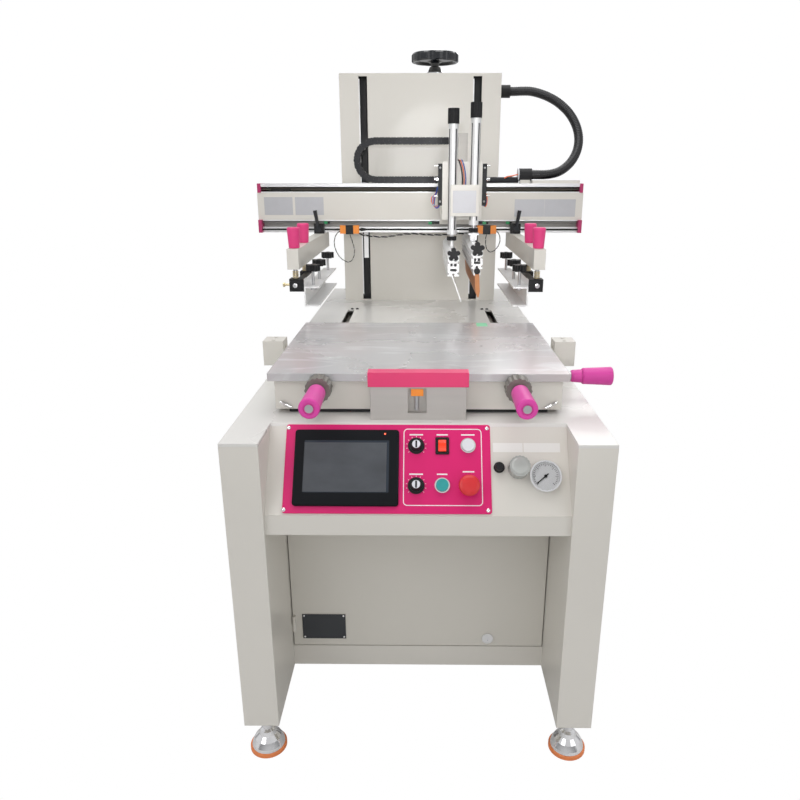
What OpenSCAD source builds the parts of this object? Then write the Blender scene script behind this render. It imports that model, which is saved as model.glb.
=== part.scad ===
// Flatbed screen printer with a running table, millimetres, +Z up.
// Origin: on the floor, midway between the leg fronts and the rear wall.
// Inside the modules Y is measured from the leg fronts, and heights named
// with "up" are measured from the deck top.

/* [Cabinet] */
// Width over the two legs
cab_w = 720; // [700:1:760]
// Depth from the leg fronts to the rear wall
cab_d = 1760; // [1740:1:1900]
// Height of the deck top above the floor
deck_z = 724; // [704:1:780]
// Clear height between floor and cabinet
under_z = 93; // [88:1:105]
// Width of each front leg
leg_w = 72; // [64:1:76]
// How far the door stands behind the leg fronts
door_set = 191; // [170:1:200]
// Thickness of the cabinet sheet
sheet = 3; // [2:0.5:4]
// Thickness of the deck plate
deck_t = 6; // [5:0.5:8]
// Height of the rail below the door
sill_h = 52; // [44:1:60]
// Depth of the folded door pan
door_t = 20; // [16:1:26]
// Gap round the door
door_gap = 2; // [1.5:0.5:3]
// Diameter of the foot pads
foot_d = 78; // [60:1:86]

/* [Control slope] */
// Height of the sloped fascia below the deck top
slope_drop = 150; // [140:1:156]
// Depth of the fascia's upper edge behind the leg fronts
slope_top_y = 112; // [104:1:120]
// Depth of the fascia's lower edge behind the leg fronts
slope_foot_y = 8; // [6:1:14]
// Height of the front rail under the fascia
rail_h = 38; // [30:1:46]
// Width of the coloured panel plate
plate_w = 394; // [388:1:400]
// Height of the coloured panel plate along the slope
plate_h = 172; // [168:1:174]
// Thickness of the coloured panel plate
plate_t = 2.5; // [2:0.5:4]
// Width of the touch screen housing
hmi_w = 200; // [190:1:204]
// Height of the touch screen housing
hmi_h = 147; // [140:1:150]
// Diameter of the panel hole of a push button
button_d = 22; // [20:0.5:24]
// Diameter of the stop button's mushroom
mushroom_d = 40; // [36:1:42]
// Diameter of the speed knobs
pot_d = 24; // [20:1:28]
// Diameter of the air gauge
gauge_d = 60; // [50:1:64]
// Diameter of the regulator knob
regulator_d = 40; // [34:1:44]

/* [Table] */
// Width of the table top
table_w = 600; // [580:1:610]
// Depth of the table top
table_d = 490; // [460:1:500]
// Height of the table surface above the deck
table_up = 86; // [84:1:90]
// Thickness of the table top's edge
table_t = 16; // [12:1:18]
// Distance of the table's front edge behind the leg fronts
table_y = 160; // [158:1:170]
// Distance between the two deck slots
slot_pitch = 486; // [460:1:500]
// Width of the deck slots
slot_w = 24; // [22:1:30]
// Travel of the table
table_run = 640; // [600:1:650]
// Fine adjustment of the table each way
fine_run = 5; // [3:1:6]
// Diameter of the coloured grips
grip_d = 41; // [30:1:44]

/* [Column] */
// Width of the column
col_w = 568; // [550:1:600]
// Depth of the column
col_d = 210; // [200:1:240]
// Height of the column above the deck
col_h = 794; // [780:1:860]
// Distance of the column face behind the leg fronts
col_y = 1482; // [1480:1:1500]
// Distance between the two column slots
guide_pitch = 402; // [380:1:420]
// Width of the column slots
guide_slot = 30; // [24:1:32]
// Diameter of the handwheel
wheel_d = 168; // [125:1:170]

/* [Print head] */
// Length of the beam over its end caps
beam_l = 1124; // [1080:1:1160]
// Depth of the beam
beam_d = 100; // [90:1:104]
// Height of the beam's underside above the deck
beam_up = 265; // [255:1:275]
// Height of the lower profile
low_h = 43; // [40:1:46]
// Height of the plain face between the profiles
face_h = 91; // [84:1:96]
// Height of the upper profile
top_h = 30; // [28:1:34]
// Travel of the head downwards
head_down = 15; // [10:1:15]
// Travel of the head upwards
head_rise = 110; // [80:1:110]
// Diameter of the flood cylinder
tube_d = 26; // [22:1:27]
// Length of the two blades
blade_l = 480; // [440:1:490]
// Tilt of the flood blade
flood_tilt = 20; // [15:1:25]
// Tilt of the rubber blade
rubber_tilt = 4; // [0:1:12]
// Number of links round the energy chain's bend
bend_links = 10; // [9:1:10]
// Height of the chain links
chain_h = 23; // [20:1:24]
// Width of the chain
chain_w = 30; // [26:1:34]
// Length of a chain link between its pins
link_p = 20; // [18:1:24]

/* [Frame arms] */
// Distance of the left arm from the middle
arm_left_x = 348; // [342:1:354]
// Distance of the right arm from the middle
arm_right_x = 330; // [326:1:340]
// Width of the arms
arm_w = 32; // [30:1:36]
// Height of the arms
arm_h = 55; // [50:1:58]
// Distance of the arms' front ends behind the leg fronts
arm_y = 767; // [760:1:775]
// Length of the frame channels
channel_l = 410; // [380:1:430]
// Height of the frame channels
channel_h = 55; // [50:1:56]
// Width of the frame channels
channel_w = 42; // [36:1:44]

/* [Hidden] */

$fn = 48;
e = 0.01;
// running clearance on a radius, and the gap between pieces that pass
run = 0.05;
gap = 0.4;

// cabinet
in_w = cab_w - 2 * leg_w;
slope_a = atan2(slope_drop, slope_top_y - slope_foot_y);
slope_l = norm([slope_drop, slope_top_y - slope_foot_y]);
body_h = deck_z - deck_t - under_z;
stop_lip = 24;
door_front = door_set;
jamb_y = door_set + door_t + 1;
door_low = under_z + sill_h + door_gap;
door_high = deck_z - slope_drop - rail_h - 2 * door_gap;
door_w = in_w - 2 * door_gap;
foot_pad_h = 9;
foot_y = 45;
foot_rear_y = cab_d - 60;
stud_d = 20;

// guides under the deck
rail_w = 20;
rail_t = 18;
block_w = 44;
block_h = 26;
block_l = 70;
block_top = -deck_t - 4;
rail_low = block_top - block_h - 4;
beam_box = 40;
cross_t = 30;
cross_a = 200;
cross_b = cab_d - 420;
slot_a = 200;
post_a = 240;
post_b = 590;
slot_b = post_b + table_run + block_l / 2 + 8;
drive_d = 36;
drive_up = rail_low - 20;

// table
base_up = 12;
base_t = 8;
apron_in = 12;
apron_low = 8;
apron_top = 69;
table_low = table_up - table_t;
cross_up = 30;
cross_plate_t = 10;
spindle_up = 62;
spindle_d = 12;
grip_x = 195;
grip_l = 98;
collar_d = 52;
side_y = 258;
side_up = 54;
ear_y = 500;
table_mid = table_y + table_d / 2;
shoe_y = [table_mid - 120, table_mid + 120];
plate_x1 = 215;
side_x = 345;

// front stop
stop_w = 188;
stop_y = 130;
stop_t = 22;
stop_up = 69;
lip_h = 29;

// column and head
post_w = 60;
col_rail_y = col_y + 38;
head_block_w = 56;
wheel_x = 53;
wheel_y = col_y + 98;
boss_h = 31;
screw_d = 24;
lift_d = 60;
lift_y = col_y + 53;
beam_y = col_y - 149;
face_up = beam_up + low_h;
upper_up = face_up + face_h;
beam_top = upper_up + top_h;
cap_t = 12;
profile_l = beam_l - 2 * cap_t;
mount_t = 25;
groove_low = upper_up + 3;
groove_h = 16;
rod_up = groove_low + groove_h / 2;
rod_y = beam_y + 12;
rod_d = 6;
low_groove = beam_up + 19;
low_groove_h = 20;
low_rod_up = low_groove + 14.5;
low_rod_d = 5;
sensor_rod_up = beam_up + 11;
sensor_rod_y = beam_y - 11;
sensor_rod_d = 6;
pulley_d = 60;
pulley_x = beam_l / 2 - 62;
pulley_y = beam_y + beam_d / 2 + 4;
belt_t = 2;
belt_h = 10;

// carriage
car_x = 129;
car_w = 121;
car_y = 1040;
car_low = 326;
car_top = 496;
slide_y = beam_y - 28;
slide_t = 22;
cover_w = 87;
cover_x = 135.5;
cover_t = 11;
cover_y = car_y - 44;
cover_low = 339;
cover_h = 91;
tube_y = car_y - 18;
flood_x = 99;
squeegee_x = 165;
press_rod_d = 12;
flood_tube_low = 284;
flood_tube_top = 600;
squeegee_tube_low = 312;
squeegee_tube_top = 616;
bar_w = 32;
bar_dx = -3;
flood_h = 65;
squeegee_h = 59;
blade_y = 810;
flood_bar_up = 185;
squeegee_bar_up = 206;
pivot_up = squeegee_bar_up + squeegee_h + 8;
pivot_d = 8;
star_d = 42;
star_h = 14;

// energy chain
chain_y = beam_y + 57;
chain_r = link_p / 2 / sin(90 / bend_links);
chain_low_up = beam_top + 0.4;
bend_x = -155;
chain_fixed_x = bend_x + 12 * link_p;
chain_end_x = bend_x + 13 * link_p;
chain_mid_low = chain_low_up + chain_h / 2;
chain_mid_top = chain_mid_low + 2 * chain_r;

// arms
holder_gap = 10;
arm_low = beam_up - 0.4 - arm_h;
rod_front_y = arm_y + 33;
rod_rear_y = arm_y + 193;
holder_rod_d = 12;
channel_low = 105;
channel_y = arm_y + 13;
channel_t = 4;
web_in = 25;
clamp_y = [channel_y + 40, channel_y + 160, channel_y + 360];
clamp_d = 8;
height_knob_h = 56;
block_up = channel_low + channel_h - 14;
block_hh = 35;

// hose between the column and the head, leads of the stroke sensors
hose_d = 32;
hose_up = col_h - 49;
hose_y = col_y + 98;
col_gland_l = 42;
gland_x = 392;
gland_up = 458;
gland_y = 1400;
hose_points = [
    [308, 1580, 745], [340, 1580, 745], [370, 1579, 746], [400, 1576, 745], [430, 1571, 738],
    [460, 1565, 727], [490, 1557, 711], [516, 1548, 691], [538, 1538, 668], [555, 1527, 641],
    [566, 1514, 612], [570, 1500, 582], [566, 1484, 552], [555, 1468, 525], [538, 1452, 501],
    [516, 1436, 482], [491, 1422, 468], [465, 1411, 461], [438, 1404, 458], [414, 1400, 458],
    [378, 1400, 458]
];
lead_d = 3.6;

// places a module that was drawn from the leg fronts
module seat() {
    translate([0, -cab_d / 2, 0]) children();
}

// block from two corners, heights measured from the deck top
module block(x0, x1, y0, y1, z0, z1) {
    translate([x0, y0, deck_z + z0]) cube([x1 - x0, y1 - y0, z1 - z0]);
}

// on the fascia: x across, t down the slope, local +Z out of the face
module on_slope(x, t, out = 0) {
    translate([0, slope_top_y, deck_z]) rotate([slope_a, 0, 0]) translate([x, -t, out]) children();
}

// cylinder along X, Y or Z from a point
module rod_x(x, y, up, d, l) {
    translate([x, y, deck_z + up]) rotate([0, 90, 0]) cylinder(d = d, h = l);
}
module rod_y(x, y, up, d, l) {
    translate([x, y, deck_z + up]) rotate([-90, 0, 0]) cylinder(d = d, h = l);
}
module rod_z(x, y, up, d, l) {
    translate([x, y, deck_z + up]) cylinder(d = d, h = l);
}

// flat plate with round corners, lying in the plane of x and y
module round_plate(w, h, t, r) {
    linear_extrude(t) union() {
        translate([-w / 2 + r, -h / 2]) square([w - 2 * r, h]);
        translate([-w / 2, -h / 2 + r]) square([w, h - 2 * r]);
        for (sx = [-1, 1], sy = [-1, 1]) translate([sx * (w / 2 - r), sy * (h / 2 - r)]) circle(r);
    }
}

// five-lobed knob standing on z = 0
module star_knob(d, h) {
    linear_extrude(h) union() {
        circle(d = d * 0.62);
        for (i = [0:4]) rotate(i * 72 + 18) translate([d * 0.34, 0]) circle(d = d * 0.32);
    }
}

// tapered coloured grip along +Z with finger grooves at its outer end
module grip(d, l) {
    difference() {
        rotate_extrude() polygon([
            [0, 0], [d * 0.36, 0], [d * 0.42, 3], [d * 0.44, l * 0.4],
            [d / 2 - 1, l - 6], [d / 2 - 1, l - 2], [d / 2 - 3, l], [0, l]
        ]);
        translate([0, 0, l - 2]) cylinder(d = d * 0.55, h = 3);
    }
    translate([0, 0, l - 2]) cylinder(d = d * 0.3, h = 2.5);
}

// tube swept along a list of points
function unit(v) = v / norm(v);
function ring_at(p, dir, d, sides) =
    let (side = unit(cross(dir, abs(dir[2]) > 0.9 ? [1, 0, 0] : [0, 0, 1])), top = cross(side, dir))
    [for (k = [0:sides - 1]) p + d / 2 * (cos(360 * k / sides) * side + sin(360 * k / sides) * top)];
function dir_at(pts, i) = unit(pts[min(i + 1, len(pts) - 1)] - pts[max(i - 1, 0)]);
module swept_tube(pts, d, sides) {
    n = len(pts);
    verts = [for (i = [0:n - 1]) each ring_at(pts[i], dir_at(pts, i), d, sides)];
    walls = [for (i = [0:n - 2], k = [0:sides - 1])
        [i * sides + k, (i + 1) * sides + k, (i + 1) * sides + (k + 1) % sides, i * sides + (k + 1) % sides]];
    first = [for (k = [0:sides - 1]) k];
    last = [for (k = [sides - 1:-1:0]) (n - 1) * sides + k];
    polyhedron(points = verts, faces = concat(walls, [first], [last]), convexity = 8);
}

// Cabinet weldment: side walls, hollow legs, floor, rear wall, sill, fascia.
module side_wall(s) {
    mirror([s > 0 ? 1 : 0, 0, 0]) {
        // plan outline of wall, leg and jamb, drawn for the left side
        translate([-cab_w / 2, 0, under_z]) {
            cube([sheet, cab_d, body_h]);
            cube([leg_w, sheet, body_h]);
            translate([leg_w - sheet, 0, 0]) cube([sheet, jamb_y + sheet, body_h]);
            cube([leg_w, jamb_y, sheet]);
        }
        translate([-in_w / 2 - sheet, jamb_y, under_z]) cube([stop_lip + sheet, sheet, door_high + stop_lip / 2 - under_z]);
    }
}
module rear_wall() {
    difference() {
        translate([-cab_w / 2, cab_d - sheet, under_z]) cube([cab_w, sheet, body_h]);
        // louvre slots, and the opening for the mains inlet
        for (i = [0:7], s = [-1, 1]) {
            translate([s * cab_w / 4 - 70, cab_d - 2 * sheet, under_z + 130 + i * 22]) cube([140, 3 * sheet, 7]);
        }
        translate([0, cab_d + 1, under_z + 90]) rotate([90, 0, 0]) cylinder(d = 26, h = 3 * sheet);
    }
}
module cabinet() {
    color([0.86, 0.85, 0.80]) seat() {
        side_wall(-1);
        side_wall(1);
        rear_wall();
        // floor
        translate([-cab_w / 2, jamb_y, under_z]) cube([cab_w, cab_d - jamb_y, sheet]);
        // sill under the door, in line with the door face
        translate([-in_w / 2, door_set, under_z]) cube([in_w, sheet, sill_h]);
        translate([-in_w / 2, door_set, under_z]) cube([in_w, jamb_y + sheet - door_set, sheet]);
        translate([-in_w / 2, jamb_y, under_z]) cube([in_w, sheet, sill_h + stop_lip / 2]);
        translate([-in_w / 2, door_set, under_z + sill_h - sheet]) cube([in_w, jamb_y + sheet - door_set, sheet]);
        // ceiling of the knee space and the header behind the door
        translate([-in_w / 2, slope_foot_y, deck_z - slope_drop - rail_h]) cube([in_w, jamb_y + sheet - slope_foot_y, sheet]);
        translate([-in_w / 2, jamb_y, door_high - stop_lip / 2]) cube([in_w, sheet, stop_lip]);
        // front rail
        translate([-in_w / 2, slope_foot_y, deck_z - slope_drop - rail_h]) cube([in_w, sheet, rail_h + sheet]);
        // sloped fascia with the openings behind the controls
        intersection() {
            difference() {
                on_slope(0, 0) translate([-in_w / 2, -slope_l - sheet, -sheet]) cube([in_w, slope_l + 20, sheet]);
                fascia_holes();
            }
            translate([-in_w / 2, slope_foot_y, deck_z - slope_drop]) cube([in_w, slope_top_y, slope_drop - deck_t]);
        }
        // lower half and pin of each door hinge
        for (z = hinge_z) {
            translate([hinge_x, hinge_y, z]) cylinder(d = 8, h = knuckle_l / 2 - gap);
            translate([hinge_x, hinge_y, z]) cylinder(d = 4, h = knuckle_l - 2);
            translate([-in_w / 2 - e, hinge_y - 1.5, z]) cube([hinge_x + in_w / 2, 3, knuckle_l / 2 - gap]);
        }
        // cross members that carry the table guides
        for (y = [cross_a, cross_b]) {
            block(-cab_w / 2 + sheet, cab_w / 2 - sheet, y - cross_t / 2, y + cross_t / 2, rail_low - beam_box - cross_t, rail_low - beam_box);
        }
    }
}

// Deck plate with two long slots and the bevel that meets the fascia.
module deck_plate() {
    color([0.88, 0.87, 0.83]) seat() difference() {
        translate([-cab_w / 2, 0, deck_z - deck_t]) cube([cab_w, cab_d, deck_t]);
        translate([-in_w / 2, -1, deck_z - 2 * deck_t]) cube([in_w, slope_top_y - deck_t / tan(slope_a) + 1, 3 * deck_t]);
        on_slope(0, 0) translate([-in_w / 2, -20, 0]) cube([in_w, 40, 20]);
        for (s = [-1, 1]) {
            translate([s * slot_pitch / 2, 0, deck_z - deck_t - 1]) {
                translate([-slot_w / 2, slot_a, 0]) cube([slot_w, slot_b - slot_a, deck_t + 2]);
                for (y = [slot_a, slot_b]) translate([0, y, 0]) cylinder(d = slot_w, h = deck_t + 2);
            }
        }
    }
}

// Four levelling feet: rubber ring, domed cup, stud and lock nut.
module foot() {
    rotate_extrude() polygon([
        [0, 0], [foot_d / 2, 0], [foot_d / 2, foot_pad_h - 2], [foot_d / 2 - 1.5, foot_pad_h],
        [foot_d / 2 - 3, foot_pad_h], [foot_d / 2 - 5, foot_pad_h + 6], [foot_d * 0.36, foot_pad_h + 18],
        [foot_d * 0.24, foot_pad_h + 27], [foot_d * 0.2, foot_pad_h + 36], [stud_d / 2, foot_pad_h + 40],
        [0, foot_pad_h + 40]
    ]);
    for (i = [0:11]) rotate(i * 30) translate([foot_d * 0.37, 0, foot_pad_h]) cylinder(d = 6, h = 10);
    cylinder(d = stud_d, h = under_z);
    translate([0, 0, under_z - 16]) cylinder(d = stud_d * 1.6, h = 16, $fn = 6);
}
module levelling_feet() {
    color([0.75, 0.75, 0.77]) seat() {
        for (s = [-1, 1], y = [foot_y, foot_rear_y]) translate([s * (cab_w - leg_w) / 2, y, 0]) foot();
    }
}

// Door pan with folded edges, its hinge knuckles and the nameplate recess.
hinge_x = -in_w / 2 + 5;
hinge_y = door_set - 4;
hinge_z = [door_low + 40, door_high - 80];
knuckle_l = 40;
lock_x = 160;
lock_z = deck_z - 555;
module door() {
    color([0.86, 0.85, 0.80]) seat() {
        difference() {
            translate([-door_w / 2, door_front, door_low]) cube([door_w, door_t, door_high - door_low]);
            translate([-door_w / 2 + sheet, door_front + sheet, door_low + sheet]) cube([door_w - 2 * sheet, door_t, door_high - door_low - 2 * sheet]);
            translate([lock_x, door_front - 1, lock_z]) rotate([-90, 0, 0]) cylinder(d = 20 + 2 * gap, h = 10);
        }
        // upper half of each hinge, with its bore over the pin
        for (z = hinge_z) difference() {
            union() {
                translate([hinge_x, hinge_y, z + knuckle_l / 2]) cylinder(d = 8, h = knuckle_l / 2);
                translate([hinge_x, hinge_y - 1, z + knuckle_l / 2]) cube([4, 5 + e, knuckle_l / 2]);
            }
            translate([hinge_x, hinge_y, z]) cylinder(d = 4 + 2 * run, h = knuckle_l);
        }
        // bare nameplate
        translate([-265, door_front - 1, lock_z - 4]) cube([100, 1 + e, 66]);
    }
}

// Round cam lock with its key slot and the cam behind the door.
module door_lock() {
    color([0.8, 0.8, 0.82]) seat() translate([lock_x, door_front, lock_z]) rotate([90, 0, 0]) {
        difference() {
            union() {
                translate([0, 0, 0.3]) cylinder(d = 26, h = 4);
                translate([0, 0, -28]) cylinder(d = 20, h = 28.5);
                translate([-24, -6, -28]) cube([24, 12, 3]);
            }
            translate([-1, -6, 2]) cube([2, 12, 4]);
        }
    }
}

// Column shell, open at the foot, with two long slots in its face.
module column() {
    color([0.88, 0.87, 0.83]) seat() {
        difference() {
            block(-col_w / 2, col_w / 2, col_y, col_y + col_d, 0, col_h);
            block(-col_w / 2 + 4, col_w / 2 - 4, col_y + 4, col_y + col_d - 4, -1, col_h - 4);
            for (s = [-1, 1]) {
                block(s * guide_pitch / 2 - guide_slot / 2, s * guide_pitch / 2 + guide_slot / 2, col_y - 1, col_y + 6, 4, col_h - 10);
            }
            rod_z(wheel_x, wheel_y, col_h - 10, screw_d + 2 * run, 30);
        }
        // bearing boss under the handwheel
        difference() {
            translate([wheel_x, wheel_y, deck_z + col_h]) rotate_extrude() polygon([
                [0, -e], [30, -e], [30, 12], [26, 15], [19, boss_h], [0, boss_h]
            ]);
            rod_z(wheel_x, wheel_y, col_h - 10, screw_d + 2 * run, 60);
        }
        // shelf that steadies the lower end of the height screw
        difference() {
            block(wheel_x - 40, wheel_x + 40, wheel_y - 22, col_y + col_d - 4 + e, 430, 442);
            rod_z(wheel_x, wheel_y, 420, screw_d + 2 * run, 40);
        }
        // gland for the loom on the column's side
        difference() {
            rod_x(col_w / 2 - e, hose_y, hose_up, hose_d + 12, col_gland_l);
            rod_x(col_w / 2 + 14, hose_y, hose_up, hose_d, 60);
        }
    }
}

// Profile rails: two under the deck and two in the column, with the table's
// drive tube and the lift cylinder.
module linear_guides() {
    color([0.6, 0.61, 0.63]) seat() {
        for (s = [-1, 1]) {
            // beam and rail of the table guide
            block(s * slot_pitch / 2 - beam_box / 2, s * slot_pitch / 2 + beam_box / 2, cross_a - cross_t / 2, cross_b + cross_t / 2, rail_low - beam_box, rail_low);
            block(s * slot_pitch / 2 - rail_w / 2, s * slot_pitch / 2 + rail_w / 2, cross_a - cross_t / 2, slot_b + 40, rail_low - e, rail_low + rail_t);
            // post and rail of the column guide
            block(s * guide_pitch / 2 - post_w / 2, s * guide_pitch / 2 + post_w / 2, col_rail_y, col_rail_y + post_w, 0, col_h - 4);
            block(s * guide_pitch / 2 - rail_w / 2, s * guide_pitch / 2 + rail_w / 2, col_rail_y - rail_t, col_rail_y + e, 20, col_h - 20);
        }
        // lift cylinder on the deck
        difference() {
            rod_z(0, lift_y, 0, lift_d, 210);
            rod_z(0, lift_y, 12, lift_d - 10, 186);
            rod_z(0, lift_y, 150, 20 + 2 * run, 80);
        }
        // rodless drive tube of the table, on the same cross members
        rod_y(slot_pitch / 2 - 70, cross_a - cross_t / 2, drive_up, drive_d, cross_b - cross_a + cross_t);
        for (y = [cross_a, cross_b]) {
            block(slot_pitch / 2 - 92, slot_pitch / 2 - 48, y - cross_t / 2, y + cross_t / 2, rail_low - beam_box, drive_up);
        }
    }
}

// Mounting plate inside the cabinet with the control units and valves.
tray_y = 620;
module electrics_tray() {
    color([0.7, 0.71, 0.72]) seat() {
        tray_z = under_z + sheet;
        translate([-230, tray_y, tray_z]) cube([460, 3, 400]);
        translate([-230, tray_y, tray_z]) cube([460, 60, 3]);
        // power supply, controller, drives, relay row, terminal row
        translate([-210, tray_y - 60, tray_z + 270]) cube([90, 60, 110]);
        translate([-100, tray_y - 70, tray_z + 270]) cube([130, 70, 100]);
        translate([50, tray_y - 90, tray_z + 240]) cube([60, 90, 140]);
        translate([125, tray_y - 90, tray_z + 240]) cube([60, 90, 140]);
        for (i = [0:6]) translate([-200 + i * 28, tray_y - 45, tray_z + 160]) cube([24, 45, 70]);
        for (i = [0:11]) translate([20 + i * 14, tray_y - 36, tray_z + 170]) cube([12, 36, 46]);
        // valve bank
        translate([-200, tray_y - 40, tray_z + 50]) cube([260, 40, 30]);
        for (i = [0:5]) translate([-190 + i * 42, tray_y - 34, tray_z + 80]) cube([30, 28, 44]);
    }
}

// Handwheel: a dished, scalloped wheel with a tapered hub, pinned to the
// height screw.
module handwheel() {
    r = wheel_d / 2;
    color([0.1, 0.1, 0.11]) seat() translate([wheel_x, wheel_y, deck_z + col_h + boss_h + gap]) {
        difference() {
            rotate_extrude() polygon([
                [0, 0], [13, 0], [17, 12], [30, 18], [r - 16, 20], [r - 12, 14], [r - 3, 14], [r, 18],
                [r, 38], [r - 5, 44], [r - 20, 47], [24, 45], [20, 41], [0, 41]
            ]);
            for (i = [0:9]) rotate(i * 36 + 9) translate([r + 16, 0, 10]) cylinder(d = 44, h = 40);
        }
        // height screw with a thinner end in the steady shelf
        translate([0, 0, 425 - col_h - boss_h - gap]) cylinder(d = screw_d, h = col_h + boss_h - 425 + 30);
        // cap nut in the dish
        translate([0, 0, 40]) cylinder(d = 24, h = 5, $fn = 6);
    }
}

// Nut on the height screw; the lift stop of the head rests over it.
nut_low = beam_up + 85 + head_rise + 16;
module height_nut() {
    color([0.7, 0.6, 0.35]) seat() difference() {
        union() {
            rod_z(wheel_x, wheel_y, nut_low, 50, 44);
            block(wheel_x - 30, wheel_x + 30, wheel_y - 36, wheel_y + 25, nut_low, nut_low + 16);
        }
        rod_z(wheel_x, wheel_y, nut_low - 1, screw_d + 2 * run, 60);
    }
}

// Places on the fascia: x from the machine's middle, t down the slope.
plate_x = -58;
plate_c = 90;
hmi_x = -136.5;
hmi_c = 89;
lamp_p = [96, 45.5];
rocker_p = [46.5, 46];
green_p = [46, 122.5];
stop_p = [96, 125];
pot_a = [-3.4, 46];
pot_b = [-3.4, 123];
valve_p = [154.5, 87.5];
regulator_p = [190.5, 90];
gauge_p = [240.5, 105.5];
barrel_l = 34;
button_places = [lamp_p, green_p, stop_p];
module fascia_holes() {
    for (p = button_places) on_slope(p[0], p[1], -20) cylinder(d = button_d + 2 * gap, h = 40);
    for (p = [pot_a, pot_b, valve_p]) on_slope(p[0], p[1], -20) cylinder(d = 8 + 2 * gap, h = 40);
    on_slope(rocker_p[0], rocker_p[1], -20) translate([-10, -14, 0]) cube([20, 28, 40]);
    on_slope(regulator_p[0], regulator_p[1], -20) cylinder(d = 22 + 2 * gap, h = 40);
}
module panel_plate() {
    color([0.85, 0.12, 0.42]) seat() difference() {
        on_slope(plate_x, plate_c) round_plate(plate_w, plate_h, plate_t, 5);
        fascia_holes();
    }
}

// Touch screen housing with its raised rim round the glass.
hmi_t = 7;
module touch_screen() {
    color([0.13, 0.13, 0.14]) seat() on_slope(hmi_x, hmi_c, plate_t) difference() {
        union() {
            round_plate(hmi_w, hmi_h, hmi_t - 2, 6);
            round_plate(hmi_w - 4, hmi_h - 4, hmi_t, 5);
        }
        translate([0, 2, hmi_t - 1.2]) round_plate(hmi_w - 37, hmi_h - 46, 5, 2);
    }
}

// Fixed collars of the buttons, the rocker frame, the knob stems' bushes
// and the gauge case.
module button_collar(p) {
    on_slope(p[0], p[1]) difference() {
        union() {
            translate([0, 0, plate_t]) cylinder(d = button_d + 7, h = 4);
            translate([0, 0, plate_t - barrel_l]) cylinder(d = button_d, h = barrel_l + e);
        }
        translate([0, 0, plate_t + 1]) cylinder(d = button_d + 2.4, h = 9);
        translate([0, 0, plate_t - barrel_l + 4]) cylinder(d = button_d - 6, h = barrel_l);
    }
}
module bush(p, d, h) {
    on_slope(p[0], p[1]) difference() {
        union() {
            translate([0, 0, -14]) cylinder(d = 8, h = 14 + h);
            translate([0, 0, h - 2]) cylinder(d = d, h = 2);
        }
        translate([0, 0, -10]) cylinder(d = 5 + 2 * run, h = 40);
    }
}
module button_bezels() {
    color([0.7, 0.7, 0.72]) seat() {
        for (p = button_places) button_collar(p);
        on_slope(rocker_p[0], rocker_p[1]) difference() {
            union() {
                translate([-13, -16.5, plate_t]) cube([26, 33, 2.5]);
                translate([-9.6, -13.6, -20]) cube([19.2, 27.2, 20 + plate_t + 1]);
            }
            translate([-8, -12, -14]) cube([16, 24, 40]);
        }
        bush(pot_a, 32, plate_t + 2);
        bush(pot_b, 32, plate_t + 2);
        bush(valve_p, 16, 2);
        // regulator body behind the fascia
        on_slope(regulator_p[0], regulator_p[1]) difference() {
            union() {
                translate([0, 0, -44]) cylinder(d = 44, h = 44 - sheet);
                translate([0, 0, -sheet - e]) cylinder(d = 22, h = sheet + 6);
                cylinder(d = 32, h = 3);
            }
            translate([0, 0, -20]) cylinder(d = 12 + 2 * run, h = 60);
        }
        // air gauge case with its dial well
        on_slope(gauge_p[0], gauge_p[1]) difference() {
            union() {
                cylinder(d = gauge_d - 4, h = 3);
                cylinder(d = gauge_d, h = 16);
            }
            translate([0, 0, 12]) cylinder(d = gauge_d - 6, h = 6);
            translate([0, 0, 6]) cylinder(d = 2 + 2 * run, h = 10);
        }
    }
}

// Push buttons: a cap over the collar and a stem in its barrel.
module push_cap(p) {
    on_slope(p[0], p[1], plate_t) {
        translate([0, 0, 4.6]) cylinder(d = button_d + 1.6, h = 4.4);
        translate([0, 0, -16]) cylinder(d = button_d - 7, h = 21);
    }
}
module green_button() {
    color([0.1, 0.62, 0.5]) seat() push_cap(green_p);
}
module white_button() {
    color([0.93, 0.93, 0.92]) seat() push_cap(lamp_p);
}
module stop_button() {
    color([0.85, 0.12, 0.1]) seat() on_slope(stop_p[0], stop_p[1], plate_t) {
        translate([0, 0, -16]) cylinder(d = button_d - 7, h = 30);
        translate([0, 0, 13]) rotate_extrude() polygon([
            [0, 0], [mushroom_d * 0.34, 0], [mushroom_d / 2 - 1, 3], [mushroom_d / 2, 5], [mushroom_d / 2, 8],
            [mushroom_d / 2 - 1.5, 10.5], [mushroom_d * 0.34, 12.5], [mushroom_d * 0.15, 13.4], [0, 13.5]
        ]);
    }
}
module rocker_switch() {
    color([0.8, 0.1, 0.08]) seat() on_slope(rocker_p[0], rocker_p[1], plate_t) {
        rotate([90, 0, 90]) translate([0, 0, -7.4]) linear_extrude(14.8)
            polygon([[-11, 1], [11, 1], [11, 5], [5, 3.4], [0, 3], [-5, 4.2], [-11, 7]]);
        rotate([0, 90, 0]) translate([0, 0, -7.4]) cylinder(d = 6, h = 14.8);
    }
}
module dial_knob(p, d, base) {
    on_slope(p[0], p[1]) {
        translate([0, 0, -8]) cylinder(d = 5, h = 12 + base);
        translate([0, 0, base + gap]) difference() {
            union() {
                cylinder(d = d, h = 3);
                translate([0, 0, 2.9]) cylinder(d1 = d * 0.84, d2 = d * 0.74, h = 12);
            }
            translate([-0.8, 1, 13.6]) cube([1.6, d, 3]);
        }
    }
}
module speed_knob_upper() {
    color([0.12, 0.12, 0.12]) seat() dial_knob(pot_a, pot_d, plate_t + 2);
}
module speed_knob_lower() {
    color([0.12, 0.12, 0.12]) seat() dial_knob(pot_b, pot_d, plate_t + 2);
}
module valve_knob() {
    color([0.1, 0.1, 0.1]) seat() dial_knob(valve_p, 21, 2);
}
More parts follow.
